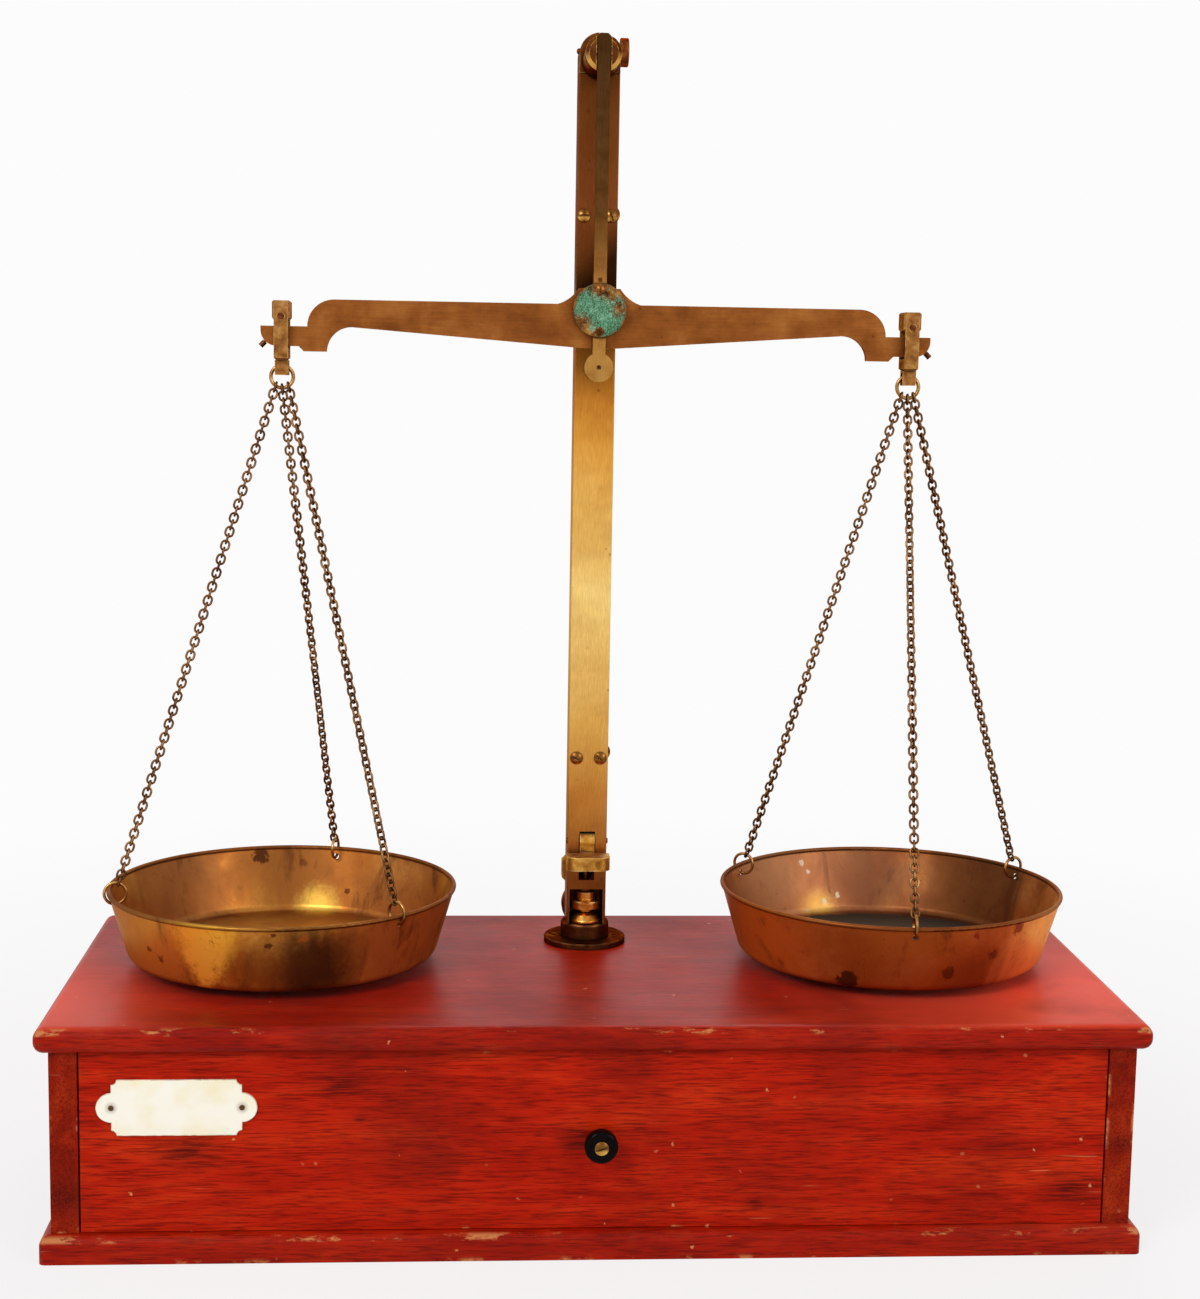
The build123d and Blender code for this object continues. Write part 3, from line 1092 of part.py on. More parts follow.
def chain_line(side, angle, order):
    """Wire centres where a chain hooks on the big ring and on its pan ring, and its direction."""
    offset = (order - 1) * CHAIN_SPREAD
    drop = math.sqrt(RING_RADIUS**2 - offset**2)
    top = Vector(side * BEAM_ARM + offset, BEAM_Y, RING_Z - drop)
    radius = pan_wall_radius(PAN_HEIGHT - PAN_HOLE_DROP)
    outward = Vector(math.cos(math.radians(angle)), math.sin(math.radians(angle)), 0)
    hole = Vector(side * BEAM_ARM, BEAM_Y, PAN_HOLE_Z) + outward * radius
    direction = (hole - top).normalized()
    bottom = hole - direction * (2 * PAN_RING_RADIUS)
    return top, bottom, hole, direction, outward


def pan_rings(side, angles):
    """The open wire rings that join the chains to the pan, each in its upright radial plane."""
    rings = []
    for order, angle in enumerate(angles):
        _, _, hole, direction, outward = chain_line(side, angle, order)
        centre = hole - direction * PAN_RING_RADIUS
        across = direction.cross(outward).normalized()
        upright = Plane(centre, x_dir=direction, z_dir=across)
        rings.append(upright * Torus(PAN_RING_RADIUS, PAN_RING_WIRE / 2))
    return rings


def chain_link():
    """One oval wire link in the local X-Y plane, long along X."""
    wire = LINK_WIRE / 2
    bend = (LINK_WIDTH - LINK_WIRE) / 2
    straight = LINK_LENGTH - LINK_WIDTH
    path = SlotCenterToCenter(straight, 2 * bend).wire()
    start = Plane(path @ 0, z_dir=path % 0)
    return sweep(start * Circle(wire), path=path)


def chain(side, angle, order):
    """A chain of real links, each turned a quarter against its neighbours."""
    top, bottom, _, direction, outward = chain_line(side, angle, order)
    ring_centre = Vector(side * BEAM_ARM, BEAM_Y, RING_Z)
    tangent = (top - ring_centre).cross(Vector(0, 1, 0))
    half = (LINK_LENGTH - LINK_WIRE) / 2
    top_reach = half - (BIG_RING_WIRE + LINK_WIRE) / 2 - 2 * LINK_SLACK
    bottom_reach = half - (PAN_RING_WIRE + LINK_WIRE) / 2 - LINK_SLACK
    start = top + direction * top_reach
    span = (bottom - direction * bottom_reach - start).length
    longest_pitch = 2 * half - LINK_WIRE - LINK_SLACK
    count = math.ceil(span / longest_pitch) + 1
    pitch = span / (count - 1)
    first_normal = (tangent - direction * direction.dot(tangent)).normalized()
    last_normal = (outward - direction * direction.dot(outward)).normalized()
    quarter_turns = 90.0 * (count - 1)
    mismatch = first_normal.get_signed_angle(last_normal, direction)
    twist = (mismatch - quarter_turns + 90.0) % 180.0 - 90.0
    step = (quarter_turns + twist) / (count - 1)
    link = chain_link()
    links = []
    for i in range(count):
        place = Plane(start + direction * (pitch * i), x_dir=direction, z_dir=first_normal)
        links.append(place * Rot(step * i, 0, 0) * link)
    return links


# ------------------------------------------------------------------ the nodes
def all_nodes():
    nodes = {
        "top_board": top_board(),
        "base_board": base_board(),
        "left_side_panel": side_panel(-1),
        "right_side_panel": side_panel(1),
        "back_panel": back_panel(),
        "drawer_front": drawer_front(),
        "left_drawer_side": drawer_side(-1),
        "right_drawer_side": drawer_side(1),
        "drawer_back": drawer_back(),
        "drawer_bottom": drawer_bottom(),
        "drawer_knob": drawer_knob(),
        "drawer_knob_screw": knob_screw(),
        "name_plate": name_plate(),
        "name_plate_pins": name_plate_pins(),
        "column_flange": column_flange(),
        "flange_screws": flange_screws(),
        "column_tube": column_tube(),
        "lower_guide_block": guide_block(LOWER_GUIDE_CENTRE),
        "upper_guide_block": guide_block(UPPER_GUIDE_CENTRE),
        "guide_screws": guide_screws(),
        "lever_pin": lever_pin(),
        "stop_foot": stop_foot(),
        "stop_nut": stop_nut(),
        "rear_clamp_knob": rear_clamp_knob(),
        "lever": lever(),
        "lever_tail": lever_tail(),
        "lift_rod": lift_rod(),
        "lift_head": lift_head(),
        "head_nose": head_nose(),
        "strap_pin": strap_pin(),
        "head_clamp_knob": clamp_knob(),
        "hanger_strap": hanger_strap(),
        "rear_shackle_plate": rear_shackle_plate(),
        "shackle_spacers": shackle_spacers(),
        "shackle_screws": shackle_screws(),
        "front_bearing": bearing_block(NOSE_FRONT_Y, STRAP_T),
        "rear_bearing": bearing_block(REAR_PLATE_Y, REAR_PLATE_T),
        "bearing_cover": bearing_cover(),
        "cover_screws": cover_screws(),
        "beam": beam(),
        "centre_knife": centre_knife(),
        "tip_screws": tip_screws(),
    }
    for name, side, angles in (("left", -1, LEFT_PAN_ANGLES), ("right", 1, RIGHT_PAN_ANGLES)):
        nodes[f"{name}_end_knife"] = end_knife(side)
        nodes[f"{name}_stirrup"] = stirrup(side)
        nodes[f"{name}_bearing_pin"] = bearing_pin(side)
        nodes[f"{name}_big_ring"] = big_ring(side)
        nodes[f"{name}_pan"] = pan(side, angles)
        nodes[f"{name}_pan_rings"] = pan_rings(side, angles)
        for order, angle in enumerate(angles):
            nodes[f"{name}_chain_{order + 1}"] = chain(side, angle, order)
    return nodes


os.makedirs("parts", exist_ok=True)
for node, shape in all_nodes().items():
    solids = shape if isinstance(shape, list) else [shape]
    export_step(Compound(children=solids), f"parts/{node}.step")
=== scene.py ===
import math

import bpy
from mathutils import Matrix, Vector


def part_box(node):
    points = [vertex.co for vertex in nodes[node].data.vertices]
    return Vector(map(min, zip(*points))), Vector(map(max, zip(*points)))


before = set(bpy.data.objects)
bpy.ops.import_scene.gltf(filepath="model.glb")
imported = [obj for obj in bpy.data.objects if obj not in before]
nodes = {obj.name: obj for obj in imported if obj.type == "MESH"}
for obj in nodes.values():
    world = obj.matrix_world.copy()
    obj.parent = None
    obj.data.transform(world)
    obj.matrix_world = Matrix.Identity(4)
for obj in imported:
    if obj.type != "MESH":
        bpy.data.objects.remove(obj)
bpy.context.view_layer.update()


# ---- Boards of the box: top, base, two sides and back.
# Pale close-grained softwood, dyed red with spirit stain and shellacked. The top and base boards are
# rounded over on the front and ends; shellac shines on the flats and is rubbed through on the edges.
def linear(hex_colour):
    """sRGB hex to the linear colour that a node holds."""
    parts = [int(hex_colour[i : i + 2], 16) / 255 for i in (1, 3, 5)]
    return [c / 12.92 if c <= 0.04045 else ((c + 0.055) / 1.055) ** 2.4 for c in parts] + [1]


def add(tree, kind, sockets=None, stops=None, **settings):
    """Adds a shader node, with its settings, its values and links, and a ramp's stops."""
    node = tree.nodes.new("ShaderNode" + kind)
    for name, value in settings.items():
        setattr(node, name, value)
    if stops:
        elements = node.color_ramp.elements
        while len(elements) < len(stops):
            elements.new(0.5)
        for element, (place, colour) in zip(elements, stops):
            element.position = place
            element.color = linear(colour)
    for name, value in (sockets or {}).items():
        if isinstance(value, bpy.types.NodeSocket):
            tree.links.new(value, node.inputs[name])
        else:
            node.inputs[name].default_value = value
    return node


def new_material(name):
    """An empty material with nodes, and its node tree."""
    material = bpy.data.materials.new(name)
    material.use_nodes = True
    material.node_tree.nodes.clear()
    return material, material.node_tree


def facing(tree, axis):
    """How far a face looks along an axis: 1 straight along it, -1 straight against it."""
    normal = add(tree, "NewGeometry").outputs["Normal"]
    return add(tree, "SeparateXYZ", {"Vector": normal}).outputs[axis]


def worn_edges(tree, radius, noise_scale, low, high):
    """A mask that is 1 along rubbed edges, broken up by noise."""
    place = add(tree, "TexCoord").outputs["Object"]
    rounded = add(tree, "Bevel", {"Radius": radius}, samples=6).outputs["Normal"]
    true = add(tree, "NewGeometry").outputs["Normal"]
    match = add(tree, "VectorMath", {0: rounded, 1: true}, operation="DOT_PRODUCT").outputs["Value"]
    edge = add(tree, "MapRange", {"Value": match, "From Min": 0.995, "From Max": 0.9})
    rub = add(tree, "TexNoise", {"Vector": place, "Scale": noise_scale, "Detail": 6.0, "Roughness": 0.65})
    patchy = add(tree, "MapRange", {"Value": rub.outputs["Fac"], "From Min": low, "From Max": high})
    both = add(tree, "Math", {0: edge.outputs["Result"], 1: patchy.outputs["Result"]}, operation="MULTIPLY")
    return both.outputs["Value"]


# Half the length of the long boards, the drawer's front face and the top board's upper face, in metres.
HALF_LENGTH = 0.254
DRAWER_FACE = -0.095
TOP_FACE = 0.11
# How far up a rounded arris looks where it is rubbed most, and how ragged a chip's outline is, in metres.
ARRIS_SLOPE = 0.62
CHIP_RAGGED = 0.0022


def stained_wood(name, turn, dark, middle, light, gloss, knots=(), rub=0.52, sheen_places=(), wear=0.0025):
    """Red-dyed softwood under shellac; turn brings the grain from X to the board's own length.

    Knots and places of painted sheen are given as x, y, z and size. Edges are bare where a noise passes rub.
    """
    material, tree = new_material(name)
    place = add(tree, "TexCoord").outputs["Object"]
    grain = add(tree, "Mapping", {"Vector": place, "Rotation": turn}).outputs["Vector"]
    # Growth bands are about 20 mm apart and run for some 120 mm, bowed where the board was sawn across them.
    bands_at = add(tree, "Mapping", {"Vector": grain, "Scale": (1.0, 6.5, 6.5)}).outputs["Vector"]
    bands = add(
        tree, "TexNoise",
        {"Vector": bands_at, "Scale": 8.0, "Detail": 7.0, "Roughness": 0.66, "Distortion": 0.9},
    ).outputs["Fac"]
    dye = add(
        tree, "ValToRGB", {"Fac": bands},
        stops=[(0.28, dark), (0.5, middle), (0.74, light)],
    ).outputs["Color"]
    # Fibres: dark dashes under a millimetre wide and about 12 mm long, where the dye sank in.
    fibres_at = add(tree, "Mapping", {"Vector": grain, "Scale": (0.06, 1.0, 1.0)}).outputs["Vector"]
    fibres = add(
        tree, "TexNoise",
        {"Vector": fibres_at, "Scale": 1300.0, "Detail": 3.0, "Roughness": 0.6, "Distortion": 0.2},
    ).outputs["Fac"]
    streak = add(
        tree, "MapRange", {"Value": fibres, "From Min": 0.46, "From Max": 0.66, "To Max": 0.7}
    ).outputs["Result"]
    base = add(
        tree, "MixRGB", {"Fac": streak, "Color1": dye, "Color2": linear("#5a0a03")}
    ).outputs["Color"]
    # Painted sheen: faces that look up are painted paler, brightest in the middle of each place.
    upward = add(
        tree, "MapRange", {"Value": facing(tree, "Z"), "From Min": 0.6, "From Max": 0.95}
    ).outputs["Result"]
    for x, y, z, size in sheen_places:
        away = add(tree, "VectorMath", {0: place, 1: (x, y, z)}, operation="DISTANCE").outputs["Value"]
        sheen = add(
            tree, "MapRange", {"Value": away, "From Min": size, "From Max": size * 0.3, "To Max": 0.95}
        ).outputs["Result"]
        sheen = add(tree, "Math", {0: sheen, 1: upward}, operation="MULTIPLY").outputs["Value"]
        base = add(
            tree, "MixRGB", {"Fac": sheen, "Color1": base, "Color2": linear("#e84c30")}
        ).outputs["Color"]
    # Hand marks and old dirt: soft patches some 60 mm across.
    dirt_noise = add(tree, "TexNoise", {"Vector": place, "Scale": 16.0, "Detail": 5.0}).outputs["Fac"]
    dirt = add(
        tree, "MapRange", {"Value": dirt_noise, "From Min": 0.52, "From Max": 0.75, "To Max": 0.55}
    ).outputs["Result"]
    base = add(
        tree, "MixRGB", {"Fac": dirt, "Color1": base, "Color2": linear("#5d120a")}
    ).outputs["Color"]
    # Knots: dark rounds a few millimetres across, listed one by one.
    for x, y, z, size in knots:
        shift = add(tree, "VectorMath", {0: place, 1: (x, y, z)}, operation="SUBTRACT").outputs["Vector"]
        oval = add(tree, "VectorMath", {0: shift, 1: (0.6, 1.0, 1.0)}, operation="MULTIPLY").outputs["Vector"]
        away = add(tree, "VectorMath", {0: oval}, operation="LENGTH").outputs["Value"]
        ragged = add(
            tree, "Math", {0: fibres, 1: size * 0.9, 2: away}, operation="MULTIPLY_ADD"
        ).outputs["Value"]
        knot = add(
            tree, "MapRange", {"Value": ragged, "From Min": size * 1.8, "From Max": size * 0.7, "To Max": 0.8}
        ).outputs["Result"]
        dark_fibre = add(
            tree, "MapRange", {"Value": fibres, "From Min": 0.38, "From Max": 0.56, "To Min": 0.35}
        ).outputs["Result"]
        knot = add(tree, "Math", {0: knot, 1: dark_fibre}, operation="MULTIPLY").outputs["Value"]
        base = add(
            tree, "MixRGB", {"Fac": knot, "Color1": base, "Color2": linear("#470b06")}
        ).outputs["Color"]
    # Scratches: pale slanting strokes 0.4 mm wide and up to 15 mm long.
    slant = add(
        tree, "Mapping", {"Vector": place, "Rotation": (0.3, 0.9, 0.7), "Scale": (0.04, 1.0, 1.0)}
    ).outputs["Vector"]
    strokes = add(tree, "TexNoise", {"Vector": slant, "Scale": 700.0, "Detail": 1.0}).outputs["Fac"]
    scratch = add(
        tree, "MapRange", {"Value": strokes, "From Min": 0.77, "From Max": 0.81, "To Max": 0.45}
    ).outputs["Result"]
    # Chips: ragged pale specks 1 to 2 mm across, some 15 mm apart.
    jitter = add(tree, "TexNoise", {"Vector": place, "Scale": 900.0, "Detail": 2.0}).outputs["Color"]
    chip_at = add(tree, "VectorMath", {0: jitter, 1: (CHIP_RAGGED,) * 3, 2: place}, operation="MULTIPLY_ADD")
    cells = add(tree, "TexVoronoi", {"Vector": chip_at.outputs["Vector"], "Scale": 70.0}).outputs["Distance"]
    speck = add(
        tree, "MapRange", {"Value": cells, "From Min": 0.07, "From Max": 0.045, "To Max": 0.85}
    ).outputs["Result"]
    few = add(tree, "TexNoise", {"Vector": place, "Scale": 30.0}).outputs["Fac"]
    few = add(tree, "MapRange", {"Value": few, "From Min": 0.46, "From Max": 0.56}).outputs["Result"]
    speck = add(tree, "Math", {0: speck, 1: few}, operation="MULTIPLY").outputs["Value"]
    marks = add(tree, "Math", {0: scratch, 1: speck}, operation="MAXIMUM").outputs["Value"]
    base = add(
        tree, "MixRGB", {"Fac": marks, "Color1": base, "Color2": linear("#d88a5c")}
    ).outputs["Color"]
    edge = worn_edges(tree, wear, 55.0, rub + 0.04, rub + 0.12)
    # The rounded arris is rubbed bare in streaks some 30 mm long, most of all at the corners.
    slope = add(tree, "Math", {0: facing(tree, "Z"), 1: ARRIS_SLOPE}, operation="SUBTRACT").outputs["Value"]
    slope = add(tree, "Math", {0: slope}, operation="ABSOLUTE").outputs["Value"]
    arris = add(tree, "MapRange", {"Value": slope, "From Min": 0.34, "From Max": 0.12}).outputs["Result"]
    reach = add(tree, "VectorMath", {0: place}, operation="ABSOLUTE").outputs["Vector"]
    reach = add(tree, "SeparateXYZ", {"Vector": reach})
    corner = add(
        tree, "MapRange",
        {
            "Value": reach.outputs["X"], "From Min": HALF_LENGTH - 0.019, "From Max": HALF_LENGTH,
            "To Max": 0.14,
        },
    ).outputs["Result"]
    at_front = add(
        tree, "MapRange", {"Value": reach.outputs["Y"], "From Min": 0.08, "From Max": -DRAWER_FACE}
    ).outputs["Result"]
    corner = add(tree, "Math", {0: corner, 1: at_front}, operation="MULTIPLY").outputs["Value"]
    scuff_at = add(tree, "Mapping", {"Vector": grain, "Scale": (0.35, 1.0, 1.0)}).outputs["Vector"]
    scuff = add(
        tree, "TexNoise", {"Vector": scuff_at, "Scale": 85.0, "Detail": 7.0, "Roughness": 0.72}
    ).outputs["Fac"]
    scuff = add(tree, "Math", {0: scuff, 1: corner}, operation="ADD").outputs["Value"]
    scuff = add(
        tree, "MapRange", {"Value": scuff, "From Min": 0.58, "From Max": 0.63, "To Max": 0.85}
    ).outputs["Result"]
    scuff = add(tree, "Math", {0: scuff, 1: arris}, operation="MULTIPLY").outputs["Value"]
    edge = add(tree, "Math", {0: edge, 1: scuff}, operation="MAXIMUM").outputs["Value"]
    base = add(
        tree, "MixRGB", {"Fac": edge, "Color1": base, "Color2": linear("#cf8450")}
    ).outputs["Color"]
    # Dirt, chips and bare edges are duller than the shellac.
    dull = add(
        tree, "MapRange",
        {"Value": dirt_noise, "From Min": 0.3, "From Max": 0.8, "To Min": 0.3, "To Max": 0.5},
    ).outputs["Result"]
    dull = add(tree, "Math", {0: marks, 1: 0.25, 2: dull}, operation="MULTIPLY_ADD").outputs["Value"]
    dull = add(tree, "Math", {0: edge, 1: 0.3, 2: dull}, operation="MULTIPLY_ADD").outputs["Value"]
    height = add(tree, "Math", {0: streak, 1: -0.5, 2: bands}, operation="MULTIPLY_ADD").outputs["Value"]
    height = add(tree, "Math", {0: marks, 1: -0.8, 2: height}, operation="MULTIPLY_ADD").outputs["Value"]
    bump = add(tree, "Bump", {"Height": height, "Strength": 0.25, "Distance": 0.0004}).outputs["Normal"]
    skin = add(
        tree, "BsdfPrincipled",
        {
            "Base Color": base, "Roughness": dull, "Normal": bump, "Specular IOR Level": gloss,
            "Coat Weight": 0.03, "Coat Roughness": 0.2,
        },
    )
    add(tree, "OutputMaterial", {"Surface": skin.outputs["BSDF"]})
    return material


def dress(node, material):
    """Gives a CAD node its finish."""
    nodes[node].data.materials.clear()
    nodes[node].data.materials.append(material)


# The long boards carry two places of painted sheen on the top board's upper face.
long_boards = stained_wood(
    "red_dyed_pine_long", (0, 0, 0), "#7e0c02", "#a41a06", "#b92a0c", 0.07, rub=0.51,
    sheen_places=[(0.23, -0.03, TOP_FACE, 0.15), (-0.29, -0.06, TOP_FACE, 0.11)], wear=0.004,
)
side_boards = stained_wood(
    "red_dyed_pine_sides", (0, 0, math.pi / 2), "#6c1004", "#932009", "#b03612", 0.03,
    knots=[(-0.2435, -0.094, 0.030, 0.007), (0.243, -0.094, 0.052, 0.005)], rub=0.5,
)
for board in ("top_board", "base_board", "back_panel"):
    dress(board, long_boards)
for board in ("left_side_panel", "right_side_panel"):
    dress(board, side_boards)

# ---- Drawer: red front, bare pine sides, back and bottom.
# The front is one straight-grained board dyed like the box. Inside, the pine was left bare and has yellowed.
front_wood = stained_wood(
    "red_dyed_pine_drawer", (0, 0, 0), "#981103", "#b92007", "#d23810", 0.04,
    knots=[
        (0.072, DRAWER_FACE, 0.024, 0.003), (-0.187, DRAWER_FACE, 0.052, 0.009),
        (0.221, DRAWER_FACE, 0.029, 0.009), (-0.109, DRAWER_FACE, 0.066, 0.0018),
        (-0.01, DRAWER_FACE, 0.055, 0.006), (-0.118, DRAWER_FACE, 0.082, 0.007),
    ],
    rub=0.58,
)
dress("drawer_front", front_wood)

for name, turn, boards in (
    ("bare_pine_along_x", 0, ("drawer_back", "drawer_bottom")),
    ("bare_pine_along_y", math.pi / 2, ("left_drawer_side", "right_drawer_side")),
):
    bare_pine, tree = new_material(name)
    place = add(tree, "TexCoord").outputs["Object"]
    # Growth bands 6 mm apart.
    grain = add(tree, "Mapping", {"Vector": place, "Rotation": (0, 0, turn)}).outputs["Vector"]
    rings_at = add(tree, "Mapping", {"Vector": grain, "Scale": (1.0, 12.0, 12.0)}).outputs["Vector"]
    rings = add(
        tree, "TexNoise", {"Vector": rings_at, "Scale": 14.0, "Detail": 5.0, "Distortion": 0.4}
    ).outputs["Fac"]
    pine = add(
        tree, "ValToRGB", {"Fac": rings}, stops=[(0.3, "#9a6a3a"), (0.5, "#c0935c"), (0.72, "#d6b27c")]
    ).outputs["Color"]
    bump = add(tree, "Bump", {"Height": rings, "Strength": 0.3, "Distance": 0.0004}).outputs["Normal"]
    skin = add(tree, "BsdfPrincipled", {"Base Color": pine, "Roughness": 0.72, "Normal": bump})
    add(tree, "OutputMaterial", {"Surface": skin.outputs["BSDF"]})
    for board in boards:
        dress(board, bare_pine)

# ---- Drawer knob: turned ebonite, polished.
# Black hard rubber with a high polish; handling has left fine dull marks on it.
ebonite, tree = new_material("polished_ebonite")
place = add(tree, "TexCoord").outputs["Object"]
# Handling marks about 2 mm across.
marks = add(tree, "TexNoise", {"Vector": place, "Scale": 450.0, "Detail": 4.0}).outputs["Fac"]
black = add(
    tree, "ValToRGB", {"Fac": marks}, stops=[(0.35, "#050302"), (0.8, "#0e0907")]
).outputs["Color"]
shine = add(
    tree, "MapRange", {"Value": marks, "From Min": 0.3, "From Max": 0.8, "To Min": 0.1, "To Max": 0.3}
).outputs["Result"]
bump = add(tree, "Bump", {"Height": marks, "Strength": 0.06, "Distance": 0.0002}).outputs["Normal"]
skin = add(
    tree, "BsdfPrincipled",
    {
        "Base Color": black, "Roughness": shine, "Normal": bump, "Specular IOR Level": 0.03,
        "Coat Weight": 0.03, "Coat Roughness": 0.08,
    },
)
add(tree, "OutputMaterial", {"Surface": skin.outputs["BSDF"]})
dress("drawer_knob", ebonite)


# ---- Brass screws and pins: knob screw, guide screws, lever pin.
# Turned from brass rod. Their heads are rubbed bright, with painted shade dark in the slots.
def brass(
    name, dark, middle, light, patch, rough, stretch=(1, 1, 1), rubbed="#e0b070", rub=0.5, spots=0.5,
    grime_and_shade=0.0016,
):
    """Aged brass: patches of patina, fine tool or rolling marks along one direction, bright rubbed edges.

    Patch scales the patina, stretch draws the marks out, edges take the rubbed colour where a noise passes
    rub, and grime is how far the painted shade in slots and corners reaches.
    """
    material, tree = new_material(name)
    place = add(tree, "TexCoord").outputs["Object"]
    cloud = add(
        tree, "TexNoise",
        {"Vector": place, "Scale": patch, "Detail": 6.0, "Roughness": 0.6, "Distortion": 0.3},
    ).outputs["Fac"]
    base = add(
        tree, "ValToRGB", {"Fac": cloud}, stops=[(0.3, dark), (0.5, middle), (0.7, light)]
    ).outputs["Color"]
    # Rolling and file marks, 0.4 mm apart, drawn out along the metal.
    along = add(tree, "Mapping", {"Vector": place, "Scale": stretch}).outputs["Vector"]
    fine = add(
        tree, "TexNoise", {"Vector": along, "Scale": 2600.0, "Detail": 3.0, "Roughness": 0.6}
    ).outputs["Fac"]
    lift = add(
        tree, "MapRange", {"Value": fine, "From Min": 0.3, "From Max": 0.7, "To Min": 0.84, "To Max": 1.12}
    ).outputs["Result"]
    base = add(tree, "VectorMath", {0: base, "Scale": lift}, operation="SCALE").outputs["Vector"]
    # Dark spots of tarnish, 1 to 2 mm across.
    cells = add(tree, "TexVoronoi", {"Vector": place, "Scale": 130.0}).outputs["Distance"]
    spot = add(
        tree, "MapRange", {"Value": cells, "From Min": 0.14, "From Max": 0.05, "To Max": spots}
    ).outputs["Result"]
    where = add(
        tree, "MapRange", {"Value": cloud, "From Min": 0.52, "From Max": 0.44}
    ).outputs["Result"]
    spot = add(tree, "Math", {0: spot, 1: where}, operation="MULTIPLY").outputs["Value"]
    base = add(
        tree, "MixRGB", {"Fac": spot, "Color1": base, "Color2": linear("#3b2010")}
    ).outputs["Color"]
    edge = worn_edges(tree, 0.0006, 260.0, rub, rub + 0.14)
    base = add(
        tree, "MixRGB", {"Fac": edge, "Color1": base, "Color2": linear(rubbed)}
    ).outputs["Color"]
    # Painted shade: slots and corners are painted dark, as far as the ambient occlusion finds them closed in.
    open_sky = add(tree, "AmbientOcclusion", {"Distance": grime_and_shade}, samples=8).outputs["AO"]
    crevice_shade = add(
        tree, "MapRange", {"Value": open_sky, "From Min": 0.8, "From Max": 0.5, "To Max": 0.9}
    ).outputs["Result"]
    base = add(
        tree, "MixRGB", {"Fac": crevice_shade, "Color1": base, "Color2": linear("#1c1008")}
    ).outputs["Color"]
    dull = add(
        tree, "MapRange",
        {"Value": cloud, "From Min": 0.3, "From Max": 0.7, "To Min": rough + 0.1, "To Max": rough - 0.06},
    ).outputs["Result"]
    dull = add(tree, "Math", {0: fine, 1: 0.12, 2: dull}, operation="MULTIPLY_ADD").outputs["Value"]
    bump = add(tree, "Bump", {"Height": fine, "Strength": 0.12, "Distance": 0.0001}).outputs["Normal"]
    skin = add(
        tree, "BsdfPrincipled",
        {
            "Base Color": base, "Metallic": 1.0, "Roughness": dull, "Normal": bump,
            "Specular Tint": linear("#b39472"),
        },
    )
    add(tree, "OutputMaterial", {"Surface": skin.outputs["BSDF"]})
    return material, tree, skin


def paint_over(tree, skin, amount, colour):
    """Lays a colour over a finished brass, as far as the mask says."""
    was = skin.inputs["Base Color"].links[0].from_socket
    over = add(tree, "MixRGB", {"Fac": amount, "Color1": was, "Color2": linear(colour)}).outputs["Color"]
    tree.links.new(over, skin.inputs["Base Color"])


def toned(tree, skin, low, high, stops):
    """Colours a pale brass by height, from low to high in metres, wandering 10 mm up and down."""
    place = add(tree, "TexCoord").outputs["Object"]
    height = add(tree, "SeparateXYZ", {"Vector": place}).outputs["Z"]
    height_wobble = add(tree, "TexNoise", {"Vector": place, "Scale": 40.0, "Detail": 5.0}).outputs["Fac"]
    height = add(tree, "Math", {0: height_wobble, 1: 0.04, 2: height}, operation="MULTIPLY_ADD").outputs["Value"]
    share = add(
        tree, "MapRange", {"Value": height, "From Min": low + 0.02, "From Max": high + 0.02}
    ).outputs["Result"]
    tone = add(tree, "ValToRGB", {"Fac": share}, stops=stops).outputs["Color"]
    was = skin.inputs["Base Color"].links[0].from_socket
    both = add(
        tree, "MixRGB", {"Fac": 1.0, "Color1": was, "Color2": tone}, blend_type="MULTIPLY"
    ).outputs["Color"]
    tree.links.new(both, skin.inputs["Base Color"])


screw_brass, tree, skin = brass(
    "rubbed_brass_screws", "#8a5420", "#c08a3c", "#ecc06a", 300.0, 0.24, rubbed="#f2cf8e", grime_and_shade=0.004
)
# Painted reflection: the upper half of each domed head is painted brown, as a dark reflection from above; the
# lower half stays gold.
dark_reflection_above = add(
    tree, "MapRange", {"Value": facing(tree, "Z"), "From Min": -0.22, "From Max": -0.02, "To Max": 0.85}
).outputs["Result"]
paint_over(tree, skin, dark_reflection_above, "#5a3316")
for piece in ("drawer_knob_screw", "guide_screws", "lever_pin"):
    dress(piece, screw_brass)

# ---- Name plate: a sheet of ivory-coloured celluloid, bare, under two copper pins that have gone brown.
# Cream celluloid, slightly yellow, with brown dirt round the pins and along the cut edge.
celluloid, tree = new_material("cream_celluloid")
place = add(tree, "TexCoord").outputs["Object"]
# Yellowing in patches 15 mm across.
aged = add(tree, "TexNoise", {"Vector": place, "Scale": 65.0, "Detail": 4.0}).outputs["Fac"]
cream = add(
    tree, "ValToRGB", {"Fac": aged}, stops=[(0.35, "#fbf0cf"), (0.6, "#fffaea")]
).outputs["Color"]
PIN_RADIUS = 0.0012
low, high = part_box("name_plate_pins")
for x in (low.x + PIN_RADIUS, high.x - PIN_RADIUS):
    away = add(
        tree, "VectorMath", {0: place, 1: (x, low.y, (low.z + high.z) / 2)}, operation="DISTANCE"
    ).outputs["Value"]
    stain = add(
        tree, "MapRange", {"Value": away, "From Min": 0.0034, "From Max": 0.0014, "To Max": 0.45}
    ).outputs["Result"]
    cream = add(
        tree, "MixRGB", {"Fac": stain, "Color1": cream, "Color2": linear("#8a6a4a")}
    ).outputs["Color"]
grime_and_shade = worn_edges(tree, 0.0008, 300.0, 0.4, 0.6)
cream = add(
    tree, "MixRGB", {"Fac": grime_and_shade, "Color1": cream, "Color2": linear("#a58a60")}
).outputs["Color"]
